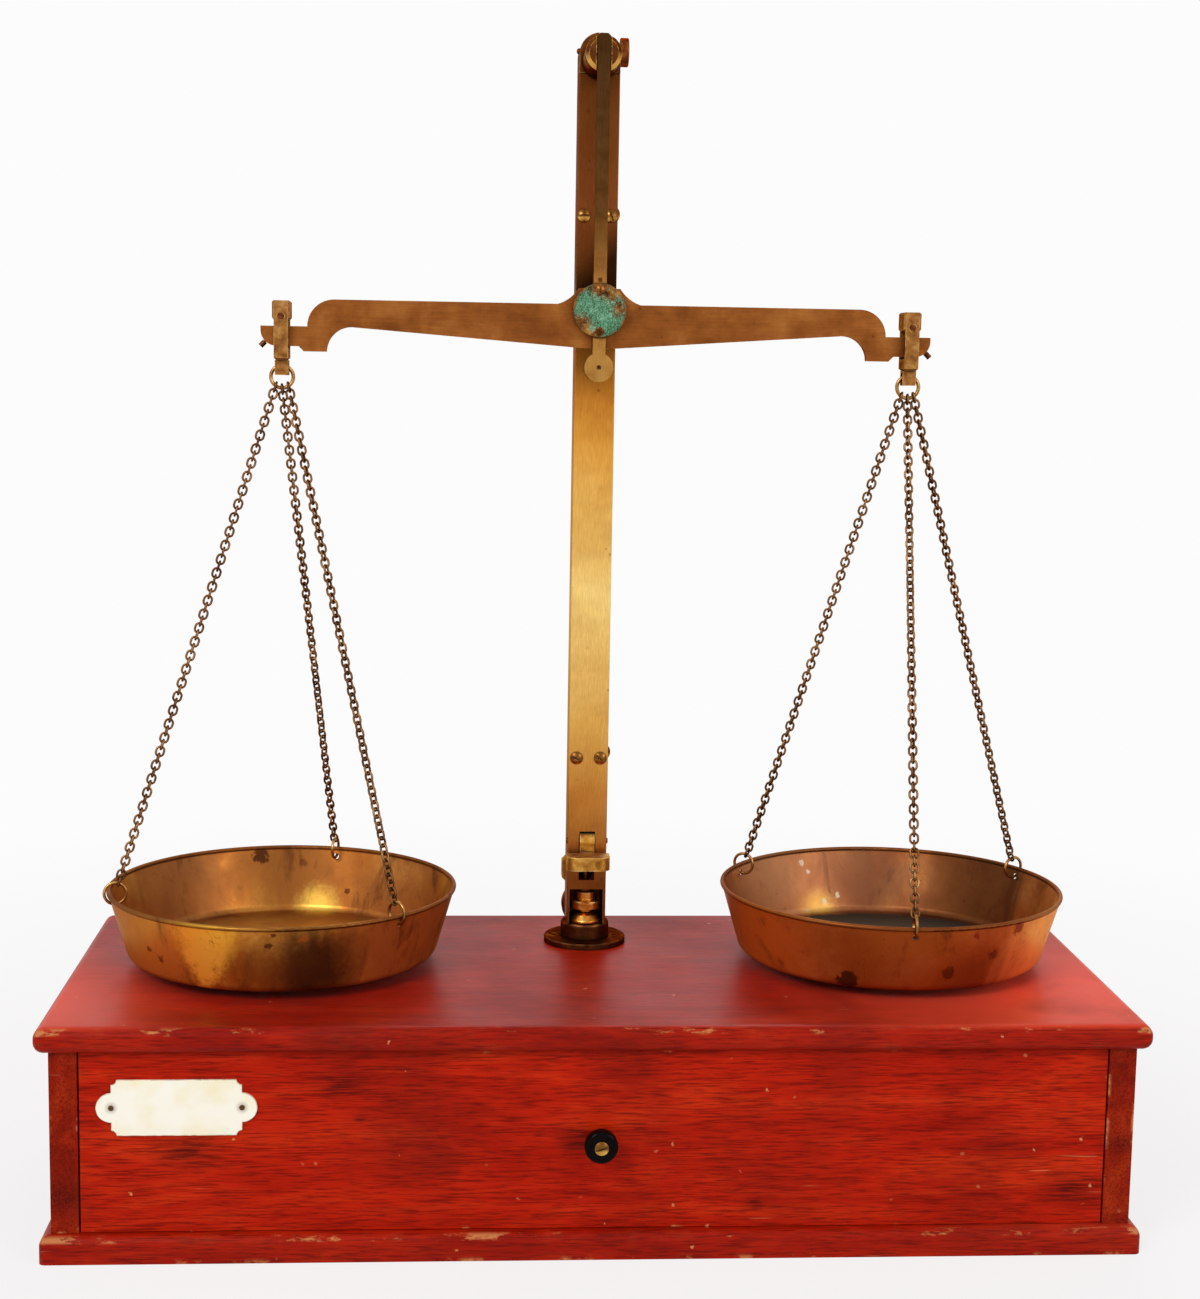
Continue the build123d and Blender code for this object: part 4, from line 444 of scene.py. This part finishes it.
skin = add(
    tree, "BsdfPrincipled",
    {"Base Color": cream, "Roughness": 0.34, "Subsurface Weight": 0.05, "Subsurface Scale": 0.001},
)
add(tree, "OutputMaterial", {"Surface": skin.outputs["BSDF"]})
dress("name_plate", celluloid)
copper_pins = brass("copper_pins", "#3c2617", "#5c4028", "#7c5a3a", 500.0, 0.38, rubbed="#a07a54")[0]
dress("name_plate_pins", copper_pins)

# ---- Column: square drawn brass tube with two guide blocks inside.
# Drawn and then rubbed lengthwise. Its tone is painted by height as reflection and shade: brown at its
# foot, bright and golden half-way up, and darker still above the beam.
tube_brass, tree, skin = brass(
    "drawn_brass_tube", "#dcd0c0", "#f1ebe0", "#ffffff", 26.0, 0.34, stretch=(1, 1, 0.07),
    rubbed="#ffffff", rub=0.46,
)
# Painted reflection and shade by height; the dark stop at 0.735 is painted shade at the beam.
toned(
    tree, skin, TOP_FACE, 0.55,
    [
        (0.05, "#80481f"), (0.11, "#a5662e"), (0.18, "#cb8a3e"), (0.26, "#e3b05a"), (0.4, "#fbd886"),
        (0.5, "#f0c068"), (0.58, "#dc9c40"), (0.64, "#c98634"), (0.69, "#b0702a"), (0.735, "#42240f"),
        (0.79, "#6a3a18"), (0.84, "#834822"), (0.96, "#74401c"),
    ],
)
# Painted shade and dark reflection of the beam: the tube is painted nearly black at the height of the beam
# and just above it, a little higher up at the right than at the left. The heights are those at the column's
# middle, in metres.
SHADE_FROM = 0.422
SHADE_TO = 0.472
along = add(tree, "SeparateXYZ", {"Vector": add(tree, "TexCoord").outputs["Object"]})
upper_edge = add(
    tree, "Math", {0: along.outputs["X"], 1: -1.2, 2: along.outputs["Z"]}, operation="MULTIPLY_ADD"
).outputs["Value"]
lower_edge = add(
    tree, "Math", {0: along.outputs["X"], 1: along.outputs["Z"]}, operation="ADD"
).outputs["Value"]
under = add(
    tree, "MapRange",
    {"Value": upper_edge, "From Min": SHADE_TO, "From Max": SHADE_TO - 0.022, "To Max": 0.85},
).outputs["Result"]
over = add(
    tree, "MapRange", {"Value": lower_edge, "From Min": SHADE_FROM, "From Max": SHADE_FROM + 0.014}
).outputs["Result"]
dark = add(tree, "Math", {0: under, 1: over}, operation="MULTIPLY").outputs["Value"]
paint_over(tree, skin, dark, "#1e0f06")
dress("column_tube", tube_brass)
for piece in ("lower_guide_block", "upper_guide_block", "lift_rod"):
    dress(piece, tube_brass)

# ---- Foot of the column: turned flange and drum, stop foot, stop nut, clamp knob behind.
# Turned brass. Flange and drum are lacquered dark, the stop foot and its nut are bare and bright, and the
# clamp knobs, with the one on the head, have gone brown.
dark_brass = brass(
    "dark_lacquered_brass", "#36190e", "#553018", "#764626", 160.0, 0.34, rubbed="#b57c3c", rub=0.5
)[0]
dress("column_flange", dark_brass)
turned_brass = brass(
    "turned_brass", "#955018", "#d89038", "#ffd070", 200.0, 0.22, rubbed="#ffe09a", rub=0.4
)[0]
for piece in ("stop_foot", "stop_nut"):
    dress(piece, turned_brass)
slotted_brass = brass(
    "dark_slotted_brass", "#3c1f0e", "#5f3517", "#8a552a", 260.0, 0.34, rubbed="#b57c3c", grime_and_shade=0.003
)[0]
dress("flange_screws", slotted_brass)
brown_knobs = brass(
    "brown_knurled_brass", "#4a220e", "#743a18", "#9c5a28", 200.0, 0.3, rubbed="#c88a4a", rub=0.46
)[0]
for piece in ("rear_clamp_knob", "head_clamp_knob"):
    dress(piece, brown_knobs)

# ---- Lever: cast brass barrel, arm and thumb plate, with a bevelled block behind.
# The thumb plate's top carries a painted pale sheen in patches; the sides keep a golden brown.
lever_brass, tree, skin = brass(
    "cast_brass_lever", "#85531e", "#bd8638", "#e6b75c", 220.0, 0.3, rubbed="#efd29a", rub=0.4
)
place = add(tree, "TexCoord").outputs["Object"]
# Painted sheen: faces that look up are painted pale, broken into patches.
top_face = add(
    tree, "MapRange", {"Value": facing(tree, "Z"), "From Min": 0.8, "From Max": 0.95}
).outputs["Result"]
sheen_noise = add(tree, "TexNoise", {"Vector": place, "Scale": 240.0, "Detail": 5.0}).outputs["Fac"]
sheen_patches = add(
    tree, "MapRange", {"Value": sheen_noise, "From Min": 0.36, "From Max": 0.6, "To Max": 0.85}
).outputs["Result"]
pale_sheen = add(tree, "Math", {0: top_face, 1: sheen_patches}, operation="MULTIPLY").outputs["Value"]
paint_over(tree, skin, pale_sheen, "#dcc79c")
dress("lever", lever_brass)
dress("lever_tail", lever_brass)

# ---- Head of the column and hanger: head block, nose, strap, rear plate, spacers and rivets.
# Sawn and filed brass, browned all over; the lower half of the nose's chamfer has a painted gold highlight,
# and the strap is painted darker towards its top as shade, paler towards its bob.
brown_brass = brass(
    "browned_brass", "#3d1f0e", "#603316", "#7c4821", 120.0, 0.34, rubbed="#d79a4e", rub=0.42
)[0]
for piece in ("lift_head", "strap_pin", "rear_shackle_plate", "shackle_spacers", "shackle_screws"):
    dress(piece, brown_brass)
nose_brass, tree, skin = brass(
    "browned_brass_nose", "#3d1f0e", "#603316", "#7c4821", 120.0, 0.3, rubbed="#e8b866", rub=0.4
)
# Painted highlight: the lower half of the nose's chamfer is painted bright gold.
tilt = add(tree, "Math", {0: facing(tree, "Y"), 1: 0.7}, operation="ADD").outputs["Value"]
tilt = add(tree, "Math", {0: tilt}, operation="ABSOLUTE").outputs["Value"]
chamfer_highlight = add(
    tree, "MapRange", {"Value": tilt, "From Min": 0.22, "From Max": 0.1, "To Max": 0.9}
).outputs["Result"]
below = add(
    tree, "MapRange", {"Value": facing(tree, "Z"), "From Min": 0.05, "From Max": -0.35}
).outputs["Result"]
chamfer_highlight = add(tree, "Math", {0: chamfer_highlight, 1: below}, operation="MULTIPLY").outputs["Value"]
paint_over(tree, skin, chamfer_highlight, "#e0a850")
dress("head_nose", nose_brass)
strap_brass, tree, skin = brass(
    "browned_brass_strap", "#d6cabb", "#efe6db", "#ffffff", 150.0, 0.38, stretch=(1, 1, 0.05),
    rubbed="#ffffff", rub=0.55,
)
# Painted shade: the strap is painted dark brown towards its top and paler towards its bob.
toned(
    tree, skin, 0.39, 0.56,
    [
        (0.1, "#b58846"), (0.3, "#a8783e"), (0.39, "#8c602e"), (0.5, "#64421f"), (0.7, "#5a3c1f"),
        (0.95, "#4c3219"),
    ],
)
dress("hanger_strap", strap_brass)

# ---- Bearing cover and its screws: a brass disc green with verdigris.
# Chalky blue-green copper salts cover it. They have flaked off to brown metal round both screws, at the lower
# left and towards the right-hand rim.
verdigris, tree = new_material("verdigris_on_brass")
place = add(tree, "TexCoord").outputs["Object"]
# Crust patches 3 to 4 mm across, made of grains of 0.5 mm.
crust = add(
    tree, "TexNoise", {"Vector": place, "Scale": 240.0, "Detail": 8.0, "Roughness": 0.72}
).outputs["Fac"]
grains = add(tree, "TexNoise", {"Vector": place, "Scale": 2100.0, "Detail": 2.0}).outputs["Fac"]
mixed = add(tree, "Math", {0: crust, 1: grains}, operation="ADD").outputs["Value"]
green = add(
    tree, "ValToRGB", {"Fac": add(tree, "Math", {0: mixed, 1: 0.5}, operation="MULTIPLY").outputs["Value"]},
    stops=[(0.36, "#2c3a20"), (0.45, "#426a48"), (0.54, "#5f9474"), (0.66, "#9cc4a4")],
).outputs["Color"]
low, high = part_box("bearing_cover")
middle = (low + high) / 2
away = add(tree, "VectorMath", {0: place, 1: middle}, operation="DISTANCE").outputs["Value"]
# How far the crust's edge wanders, in metres.
CRUST_RAGGED = 0.009
ragged = add(tree, "Math", {0: crust, 1: CRUST_RAGGED, 2: away}, operation="MULTIPLY_ADD").outputs["Value"]
bare = add(
    tree, "MapRange", {"Value": ragged, "From Min": 0.0158, "From Max": 0.0172}
).outputs["Result"]
for x, z, size in (
    (0.0, 0.0112, 0.0052), (0.0055, 0.0082, 0.0042), (-0.0095, -0.0078, 0.0058), (0.0095, 0.001, 0.0036),
    (-0.003, -0.0118, 0.0036),
):
    spot = middle + Vector((x, 0, z))
    away = add(tree, "VectorMath", {0: place, 1: spot}, operation="DISTANCE").outputs["Value"]
    ragged = add(
        tree, "Math", {0: mixed, 1: CRUST_RAGGED, 2: away}, operation="MULTIPLY_ADD"
    ).outputs["Value"]
    flaked = add(
        tree, "MapRange", {"Value": ragged, "From Min": size + 0.0105, "From Max": size + 0.0075}
    ).outputs["Result"]
    bare = add(tree, "Math", {0: bare, 1: flaked}, operation="MAXIMUM").outputs["Value"]
brown = add(
    tree, "ValToRGB", {"Fac": crust}, stops=[(0.38, "#3c2412"), (0.52, "#704723"), (0.66, "#a07438")]
).outputs["Color"]
colour = add(tree, "MixRGB", {"Fac": bare, "Color1": green, "Color2": brown}).outputs["Color"]
chalky = add(
    tree, "MapRange", {"Value": bare, "To Min": 0.85, "To Max": 0.45}
).outputs["Result"]
bump = add(tree, "Bump", {"Height": mixed, "Strength": 0.5, "Distance": 0.0003}).outputs["Normal"]
skin = add(
    tree, "BsdfPrincipled",
    {"Base Color": colour, "Metallic": bare, "Roughness": chalky, "Normal": bump, "Specular IOR Level": 0.2},
)
add(tree, "OutputMaterial", {"Surface": skin.outputs["BSDF"]})
dress("bearing_cover", verdigris)
dress("cover_screws", slotted_brass)

# ---- Beam: sawn from sheet brass, filed and browned.
# An even dull brown, finely filed along its length, with the corners rubbed lighter.
beam_brass = brass(
    "filed_sheet_brass", "#723f1a", "#8a4f22", "#a0642f", 55.0, 0.42, stretch=(0.03, 1, 1),
    rubbed="#c78f4c", rub=0.5,
)[0]
dress("beam", beam_brass)
dress("tip_screws", dark_brass)

# ---- Knives, bearings and bearing pins: hardened steel.
# Knives and bearings are ground grey; the pins in the stirrups have rusted to an even brown.
def hard_steel(name, stained, clean):
    """Hardened steel, clean in places and stained in others."""
    material, tree = new_material(name)
    place = add(tree, "TexCoord").outputs["Object"]
    # Stains 2 mm across.
    stain = add(tree, "TexNoise", {"Vector": place, "Scale": 500.0, "Detail": 4.0}).outputs["Fac"]
    grey = add(
        tree, "ValToRGB", {"Fac": stain}, stops=[(0.35, stained), (0.6, clean)]
    ).outputs["Color"]
    skin = add(tree, "BsdfPrincipled", {"Base Color": grey, "Metallic": 1.0, "Roughness": 0.35})
    add(tree, "OutputMaterial", {"Surface": skin.outputs["BSDF"]})
    return material


ground_steel = hard_steel("ground_steel", "#5f5548", "#8b867c")
for piece in ("centre_knife", "left_end_knife", "right_end_knife", "front_bearing", "rear_bearing"):
    dress(piece, ground_steel)
browned_steel = hard_steel("browned_steel_pins", "#4a2413", "#7c4626")
for side in ("left", "right"):
    dress(f"{side}_bearing_pin", browned_steel)

# ---- Stirrups: sawn and filed brass frames on the beam's ends.
# Browned, with broad rubbed faces a lighter golden brown.
stirrup_brass = brass(
    "filed_brass_stirrups", "#6a4020", "#946230", "#b98a50", 200.0, 0.38, rubbed="#d9b070", rub=0.42
)[0]
for side in ("left", "right"):
    dress(f"{side}_stirrup", stirrup_brass)

# ---- Rings and chains: brass wire, bent and closed link by link.
# The chains' wire has gone bronze brown, with bright crowns where links rub; the rings are lighter.
chain_brass = brass(
    "bronzed_brass_wire", "#4a2c18", "#765030", "#a37a50", 90.0, 0.4, rubbed="#c09a68", rub=0.5
)[0]
ring_brass = brass(
    "brass_ring_wire", "#6b4524", "#a57742", "#d8ae70", 150.0, 0.26, rubbed="#ecca8c", rub=0.5
)[0]
for side in ("left", "right"):
    dress(f"{side}_big_ring", ring_brass)
    dress(f"{side}_pan_rings", ring_brass)
    for order in (1, 2, 3):
        dress(f"{side}_chain_{order}", chain_brass)


# ---- Pans: spun sheet brass with rolled edges.
# Copper-brown tarnish lies in cloudy patches over gold, with dark runs and spots; each pan's floor is stained
# by what stood in it, the right one nearly black.

# A pan's radius at its base, how far its wall leans out over its height, and its rim's height, in metres.
PAN_BASE_RADIUS = 0.075
WALL_LEAN = 0.284
RIM_HEIGHT = 0.002
# How metallic the dull skin of tarnish leaves the brass.
TARNISHED_METAL = 0.74


def pan_brass(name, node, colours, floor_colour, floor_amount, patches):
    """A pan's tarnish, with its patches, runs, dark rim and stained floor."""
    dark, middle, light = colours
    material, tree, skin = brass(
        name, dark, middle, light, 34.0, 0.34, stretch=(1, 1, 0.25), rubbed="#a06a34", rub=0.5, spots=0.7
    )
    place = add(tree, "TexCoord").outputs["Object"]
    low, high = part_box(node)
    centre = (low + high) / 2
    # Dark runs down the wall, some 20 mm wide.
    run_at = add(tree, "Mapping", {"Vector": place, "Scale": (1.0, 1.0, 0.35)}).outputs["Vector"]
    run = add(
        tree, "TexNoise",
        {"Vector": run_at, "Scale": 48.0, "Detail": 7.0, "Roughness": 0.66, "Distortion": 0.8},
    ).outputs["Fac"]
    streak = add(
        tree, "MapRange", {"Value": run, "From Min": 0.56, "From Max": 0.68, "To Max": 0.6}
    ).outputs["Result"]
    fleck = add(
        tree, "TexNoise", {"Vector": place, "Scale": 420.0, "Detail": 5.0, "Roughness": 0.6}
    ).outputs["Fac"]
    base = skin.inputs["Base Color"].links[0].from_socket
    # Patches of tarnish on the wall, and places where it is rubbed through: how far right of the middle,
    # front (-1) or back (1), height, size, softness of the edge, colour and strength.
    for x, side, z, size, soft, hue, strength in patches:
        y = side * math.sqrt((PAN_BASE_RADIUS + WALL_LEAN * z) ** 2 - x**2)
        spot = Vector((centre.x + x, centre.y + y, low.z + z))
        away = add(tree, "VectorMath", {0: place, 1: spot}, operation="DISTANCE").outputs["Value"]
        ragged = add(
            tree, "Math", {0: run, 1: -size * 1.5, 2: away}, operation="MULTIPLY_ADD"
        ).outputs["Value"]
        bite = min(size, 0.0025) * 3.5
        ragged = add(tree, "Math", {0: fleck, 1: -bite, 2: ragged}, operation="MULTIPLY_ADD").outputs["Value"]
        blot = add(
            tree, "MapRange",
            {
                "Value": ragged, "From Min": size * (0.25 + soft) - bite / 2,
                "From Max": size * (0.25 - soft) - bite / 2, "To Max": strength,
            },
            interpolation_type="SMOOTHSTEP",
        ).outputs["Result"]
        base = add(tree, "MixRGB", {"Fac": blot, "Color1": base, "Color2": linear(hue)}).outputs["Color"]
    base = add(tree, "MixRGB", {"Fac": streak, "Color1": base, "Color2": linear("#4a2210")}).outputs["Color"]
    # The rolled rim is dark with old polish.
    level = add(tree, "SeparateXYZ", {"Vector": place}).outputs["Z"]
    rim = add(
        tree, "MapRange",
        {
            "Value": level, "From Min": high.z - RIM_HEIGHT - 0.0006, "From Max": high.z - RIM_HEIGHT,
            "To Max": 0.7,
        },
    ).outputs["Result"]
    base = add(tree, "MixRGB", {"Fac": rim, "Color1": base, "Color2": linear("#5c3416")}).outputs["Color"]
    # Fine scratches from cleaning, 0.2 mm wide, where a noise crosses its middle value.
    line_noise = add(
        tree, "TexNoise", {"Vector": place, "Scale": 70.0, "Detail": 2.0, "Distortion": 1.2}
    ).outputs["Fac"]
    off_line = add(tree, "Math", {0: line_noise, 1: 0.5}, operation="SUBTRACT").outputs["Value"]
    off_line = add(tree, "Math", {0: off_line}, operation="ABSOLUTE").outputs["Value"]
    line = add(
        tree, "MapRange", {"Value": off_line, "From Min": 0.006, "From Max": 0.002}
    ).outputs["Result"]
    some = add(
        tree, "MapRange", {"Value": run, "From Min": 0.5, "From Max": 0.4, "To Max": 0.5}
    ).outputs["Result"]
    line = add(tree, "Math", {0: line, 1: some}, operation="MULTIPLY").outputs["Value"]
    base = add(tree, "MixRGB", {"Fac": line, "Color1": base, "Color2": linear("#5a2a10")}).outputs["Color"]
    # The stain on the floor inside: within some 70 mm of the middle, where it faces up.
    flat = add(tree, "VectorMath", {0: place, 1: (1, 1, 0)}, operation="MULTIPLY").outputs["Vector"]
    away = add(
        tree, "VectorMath", {0: flat, 1: (centre.x, centre.y, 0)}, operation="DISTANCE"
    ).outputs["Value"]
    ragged = add(tree, "Math", {0: run, 1: 0.02, 2: away}, operation="MULTIPLY_ADD").outputs["Value"]
    inside = add(
        tree, "MapRange", {"Value": ragged, "From Min": 0.083, "From Max": 0.077}
    ).outputs["Result"]
    upward = add(
        tree, "MapRange", {"Value": facing(tree, "Z"), "From Min": 0.3, "From Max": 0.8}
    ).outputs["Result"]
    floor = add(tree, "Math", {0: inside, 1: upward}, operation="MULTIPLY").outputs["Value"]
    floor = add(tree, "Math", {0: floor, 1: floor_amount}, operation="MULTIPLY").outputs["Value"]
    base = add(
        tree, "MixRGB", {"Fac": floor, "Color1": base, "Color2": linear(floor_colour)}
    ).outputs["Color"]
    tree.links.new(base, skin.inputs["Base Color"])
    was = skin.inputs["Roughness"].links[0].from_socket
    dull = add(tree, "Math", {0: floor, 1: 0.2, 2: was}, operation="MULTIPLY_ADD").outputs["Value"]
    tree.links.new(dull, skin.inputs["Roughness"])
    skin.inputs["Metallic"].default_value = TARNISHED_METAL
    return material


left_pan_brass = pan_brass(
    "spun_brass_left", "left_pan", ("#8a4814", "#b86c24", "#e0a044"), "#8a5a20", 0.5,
    [
        (-0.06, -1, 0.018, 0.03, 0.7, "#c98638", 0.7), (0.06, -1, 0.018, 0.034, 0.7, "#bc7236", 0.8),
        (-0.03, -1, 0.028, 0.015, 0.4, "#ffc040", 1.0), (-0.03, -1, 0.018, 0.01, 0.4, "#ffc848", 1.0),
        (-0.03, -1, 0.009, 0.006, 0.4, "#ffc848", 1.0), (-0.03, -1, 0.002, 0.004, 0.4, "#ffc848", 1.0),
        (0.02, -1, 0.014, 0.021, 0.6, "#3c1c10", 0.9), (-0.004, -1, 0.014, 0.012, 0.7, "#8a4c1e", 0.6),
        (-0.06, 1, 0.02, 0.04, 0.7, "#875630", 0.8), (0.0, 1, 0.022, 0.032, 0.7, "#8a5426", 0.9),
        (0.012, 1, 0.002, 0.009, 0.8, "#f4cc58", 0.7), (0.06, 1, 0.02, 0.032, 0.8, "#a46a3a", 0.6),
        (-0.019, 1, 0.029, 0.004, 0.2, "#351509", 0.85), (0.016, -1, 0.028, 0.0022, 0.2, "#a8581e", 0.85),
        (0.0, -1, 0.025, 0.0016, 0.2, "#4a1f0d", 0.8), (-0.052, -1, 0.012, 0.0022, 0.3, "#6a2e10", 0.8),
        (0.002, -1, 0.03, 0.0014, 0.2, "#4a1f0d", 0.8), (-0.058, -1, 0.016, 0.0016, 0.3, "#6a2e10", 0.8),
        (0.028, 1, 0.012, 0.0016, 0.2, "#4a1f0d", 0.8), (0.004, 1, 0.025, 0.0018, 0.3, "#5a3014", 0.7),
    ],
)
dress("left_pan", left_pan_brass)
right_pan_brass = pan_brass(
    "spun_brass_right", "right_pan", ("#8a4018", "#b8662c", "#d89452"), "#37332c", 0.96,
    [
        (0.0, -1, 0.018, 0.05, 0.6, "#964312", 0.75), (0.03, -1, 0.004, 0.02, 0.6, "#6e2e16", 0.6),
        (-0.07, -1, 0.018, 0.03, 0.7, "#e07c2c", 0.8), (0.07, -1, 0.02, 0.034, 0.7, "#ffac60", 0.95),
        (0.055, 1, 0.02, 0.044, 0.6, "#4e2e18", 0.85), (-0.055, 1, 0.02, 0.034, 0.7, "#bc8860", 0.7),
        (-0.005, 1, 0.022, 0.032, 0.7, "#7c4e36", 0.85), (-0.024, 1, 0.002, 0.008, 0.8, "#e0b458", 0.6),
        (-0.033, -1, 0.004, 0.006, 0.2, "#3a1609", 0.85),
        (0.048, -1, 0.03, 0.0035, 0.3, "#7c2412", 0.8), (0.026, -1, 0.029, 0.002, 0.3, "#7c2412", 0.7),
        (0.013, -1, 0.01, 0.003, 0.3, "#54200e", 0.8), (0.036, -1, 0.018, 0.003, 0.3, "#54200e", 0.7),
        (-0.033, 1, 0.027, 0.0014, 0.15, "#b8aa94", 0.7), (-0.029, 1, 0.022, 0.0012, 0.15, "#b8aa94", 0.7),
        (-0.02, 1, 0.006, 0.0013, 0.15, "#b8aa94", 0.7), (-0.0125, 1, 0.009, 0.0014, 0.15, "#b8aa94", 0.7),
        (-0.03, 1, 0.002, 0.0012, 0.15, "#b8aa94", 0.7), (0.028, 1, 0.022, 0.0012, 0.15, "#b8aa94", 0.5),
    ],
)
dress("right_pan", right_pan_brass)

# ---- Floor, light and camera.
# A pale matt floor that keeps the shadow, three large soft lamps and a plain sky.

# The floor's width, and how far it lies under the box to keep clear of its face, in metres.
FLOOR_SIZE = 12
FLOOR_GAP = 0.0002
bpy.ops.object.select_all(action="DESELECT")
bpy.ops.mesh.primitive_plane_add(size=FLOOR_SIZE, location=(0, 0, -FLOOR_GAP))
floor = bpy.context.object
floor.name = "floor"
floor.data.transform(floor.matrix_world)
floor.matrix_world = Matrix.Identity(4)
pale_floor, tree = new_material("pale_floor")
matt = add(tree, "BsdfDiffuse", {"Color": linear("#e8e6e3")})
glow = add(tree, "Emission", {"Color": linear("#fdfcfc"), "Strength": 1.0})
ray = add(tree, "LightPath")
seen = add(
    tree, "Math", {0: ray.outputs["Is Camera Ray"], 1: ray.outputs["Is Glossy Ray"]}, operation="MAXIMUM"
).outputs["Value"]
# The floor is plain white from 0.9 m out, and nearer in a fifth of it is real, to hold the shadow.
place = add(tree, "TexCoord").outputs["Object"]
away = add(tree, "VectorMath", {0: place}, operation="LENGTH").outputs["Value"]
share = add(
    tree, "MapRange", {"Value": away, "From Min": 0.3, "From Max": 0.9, "To Min": 0.8, "To Max": 1.0}
).outputs["Result"]
seen = add(tree, "Math", {0: seen, 1: share}, operation="MULTIPLY").outputs["Value"]
mix = add(tree, "MixShader", {0: seen, 1: matt.outputs["BSDF"], 2: glow.outputs["Emission"]})
add(tree, "OutputMaterial", {"Surface": mix.outputs["Shader"]})
floor.data.materials.append(pale_floor)

world = bpy.data.worlds.new("studio")
bpy.context.scene.world = world
world.use_nodes = True
tree = world.node_tree
tree.nodes.clear()
ray = add(tree, "LightPath")
seen = add(
    tree, "Math", {0: ray.outputs["Is Camera Ray"], 1: ray.outputs["Is Glossy Ray"]}, operation="MAXIMUM"
).outputs["Value"]
seen = add(
    tree, "Math", {0: seen, 1: ray.outputs["Is Transmission Ray"]}, operation="MAXIMUM"
).outputs["Value"]
soft = add(tree, "Background", {"Color": linear("#f4f6fa"), "Strength": 0.42})
white = add(tree, "Background", {"Color": linear("#fdfcfc"), "Strength": 1.0})
mix = add(tree, "MixShader", {0: seen, 1: soft.outputs["Background"], 2: white.outputs["Background"]})
add(tree, "OutputWorld", {"Surface": mix.outputs["Shader"]})

# The lamps look at the middle of the balance: each one's place and width in metres, and its watts.
aim = Vector((0, 0, 0.25))
for name, place, size, watts in (
    ("key_lamp", (-1.5, -2.0, 1.9), 1.2, 41),
    ("fill_lamp", (1.9, -1.9, 1.3), 1.4, 22),
    ("back_lamp", (0.3, 1.8, 2.2), 1.2, 16),
):
    lamp = bpy.data.lights.new(name, "AREA")
    lamp.shape = "DISK"
    lamp.size = size
    lamp.energy = watts
    holder = bpy.data.objects.new(name, lamp)
    bpy.context.scene.collection.objects.link(holder)
    holder.location = place
    holder.rotation_mode = "QUATERNION"
    holder.rotation_quaternion = (aim - Vector(place)).to_track_quat("-Z", "Y")

# The camera's place in metres, its turn, and its lens in pixels of a frame that is 1299 pixels high.
EYE = (-0.0664, -1.0305, 0.4054)
YAW = math.radians(3.82)
PITCH = math.radians(7.54)
ROLL = math.radians(1.0)
LENS_PIXELS = 2134
FRAME_HEIGHT = 1299
SENSOR = 36
forward = Vector((math.sin(YAW) * math.cos(PITCH), math.cos(YAW) * math.cos(PITCH), -math.sin(PITCH)))
right = Vector((math.cos(YAW), -math.sin(YAW), 0))
up = right.cross(forward)
rolled_right = right * math.cos(ROLL) + up * math.sin(ROLL)
rolled_up = up * math.cos(ROLL) - right * math.sin(ROLL)
lens = bpy.data.cameras.new("camera")
lens.sensor_width = SENSOR
lens.lens = SENSOR * LENS_PIXELS / FRAME_HEIGHT
lens.clip_start = 0.01
lens.clip_end = 100
camera = bpy.data.objects.new("camera", lens)
bpy.context.scene.collection.objects.link(camera)
turn = Matrix((rolled_right, rolled_up, -forward)).transposed()
camera.matrix_world = Matrix.Translation(EYE) @ turn.to_4x4()
bpy.context.scene.camera = camera
bpy.context.scene.view_settings.view_transform = "Standard"
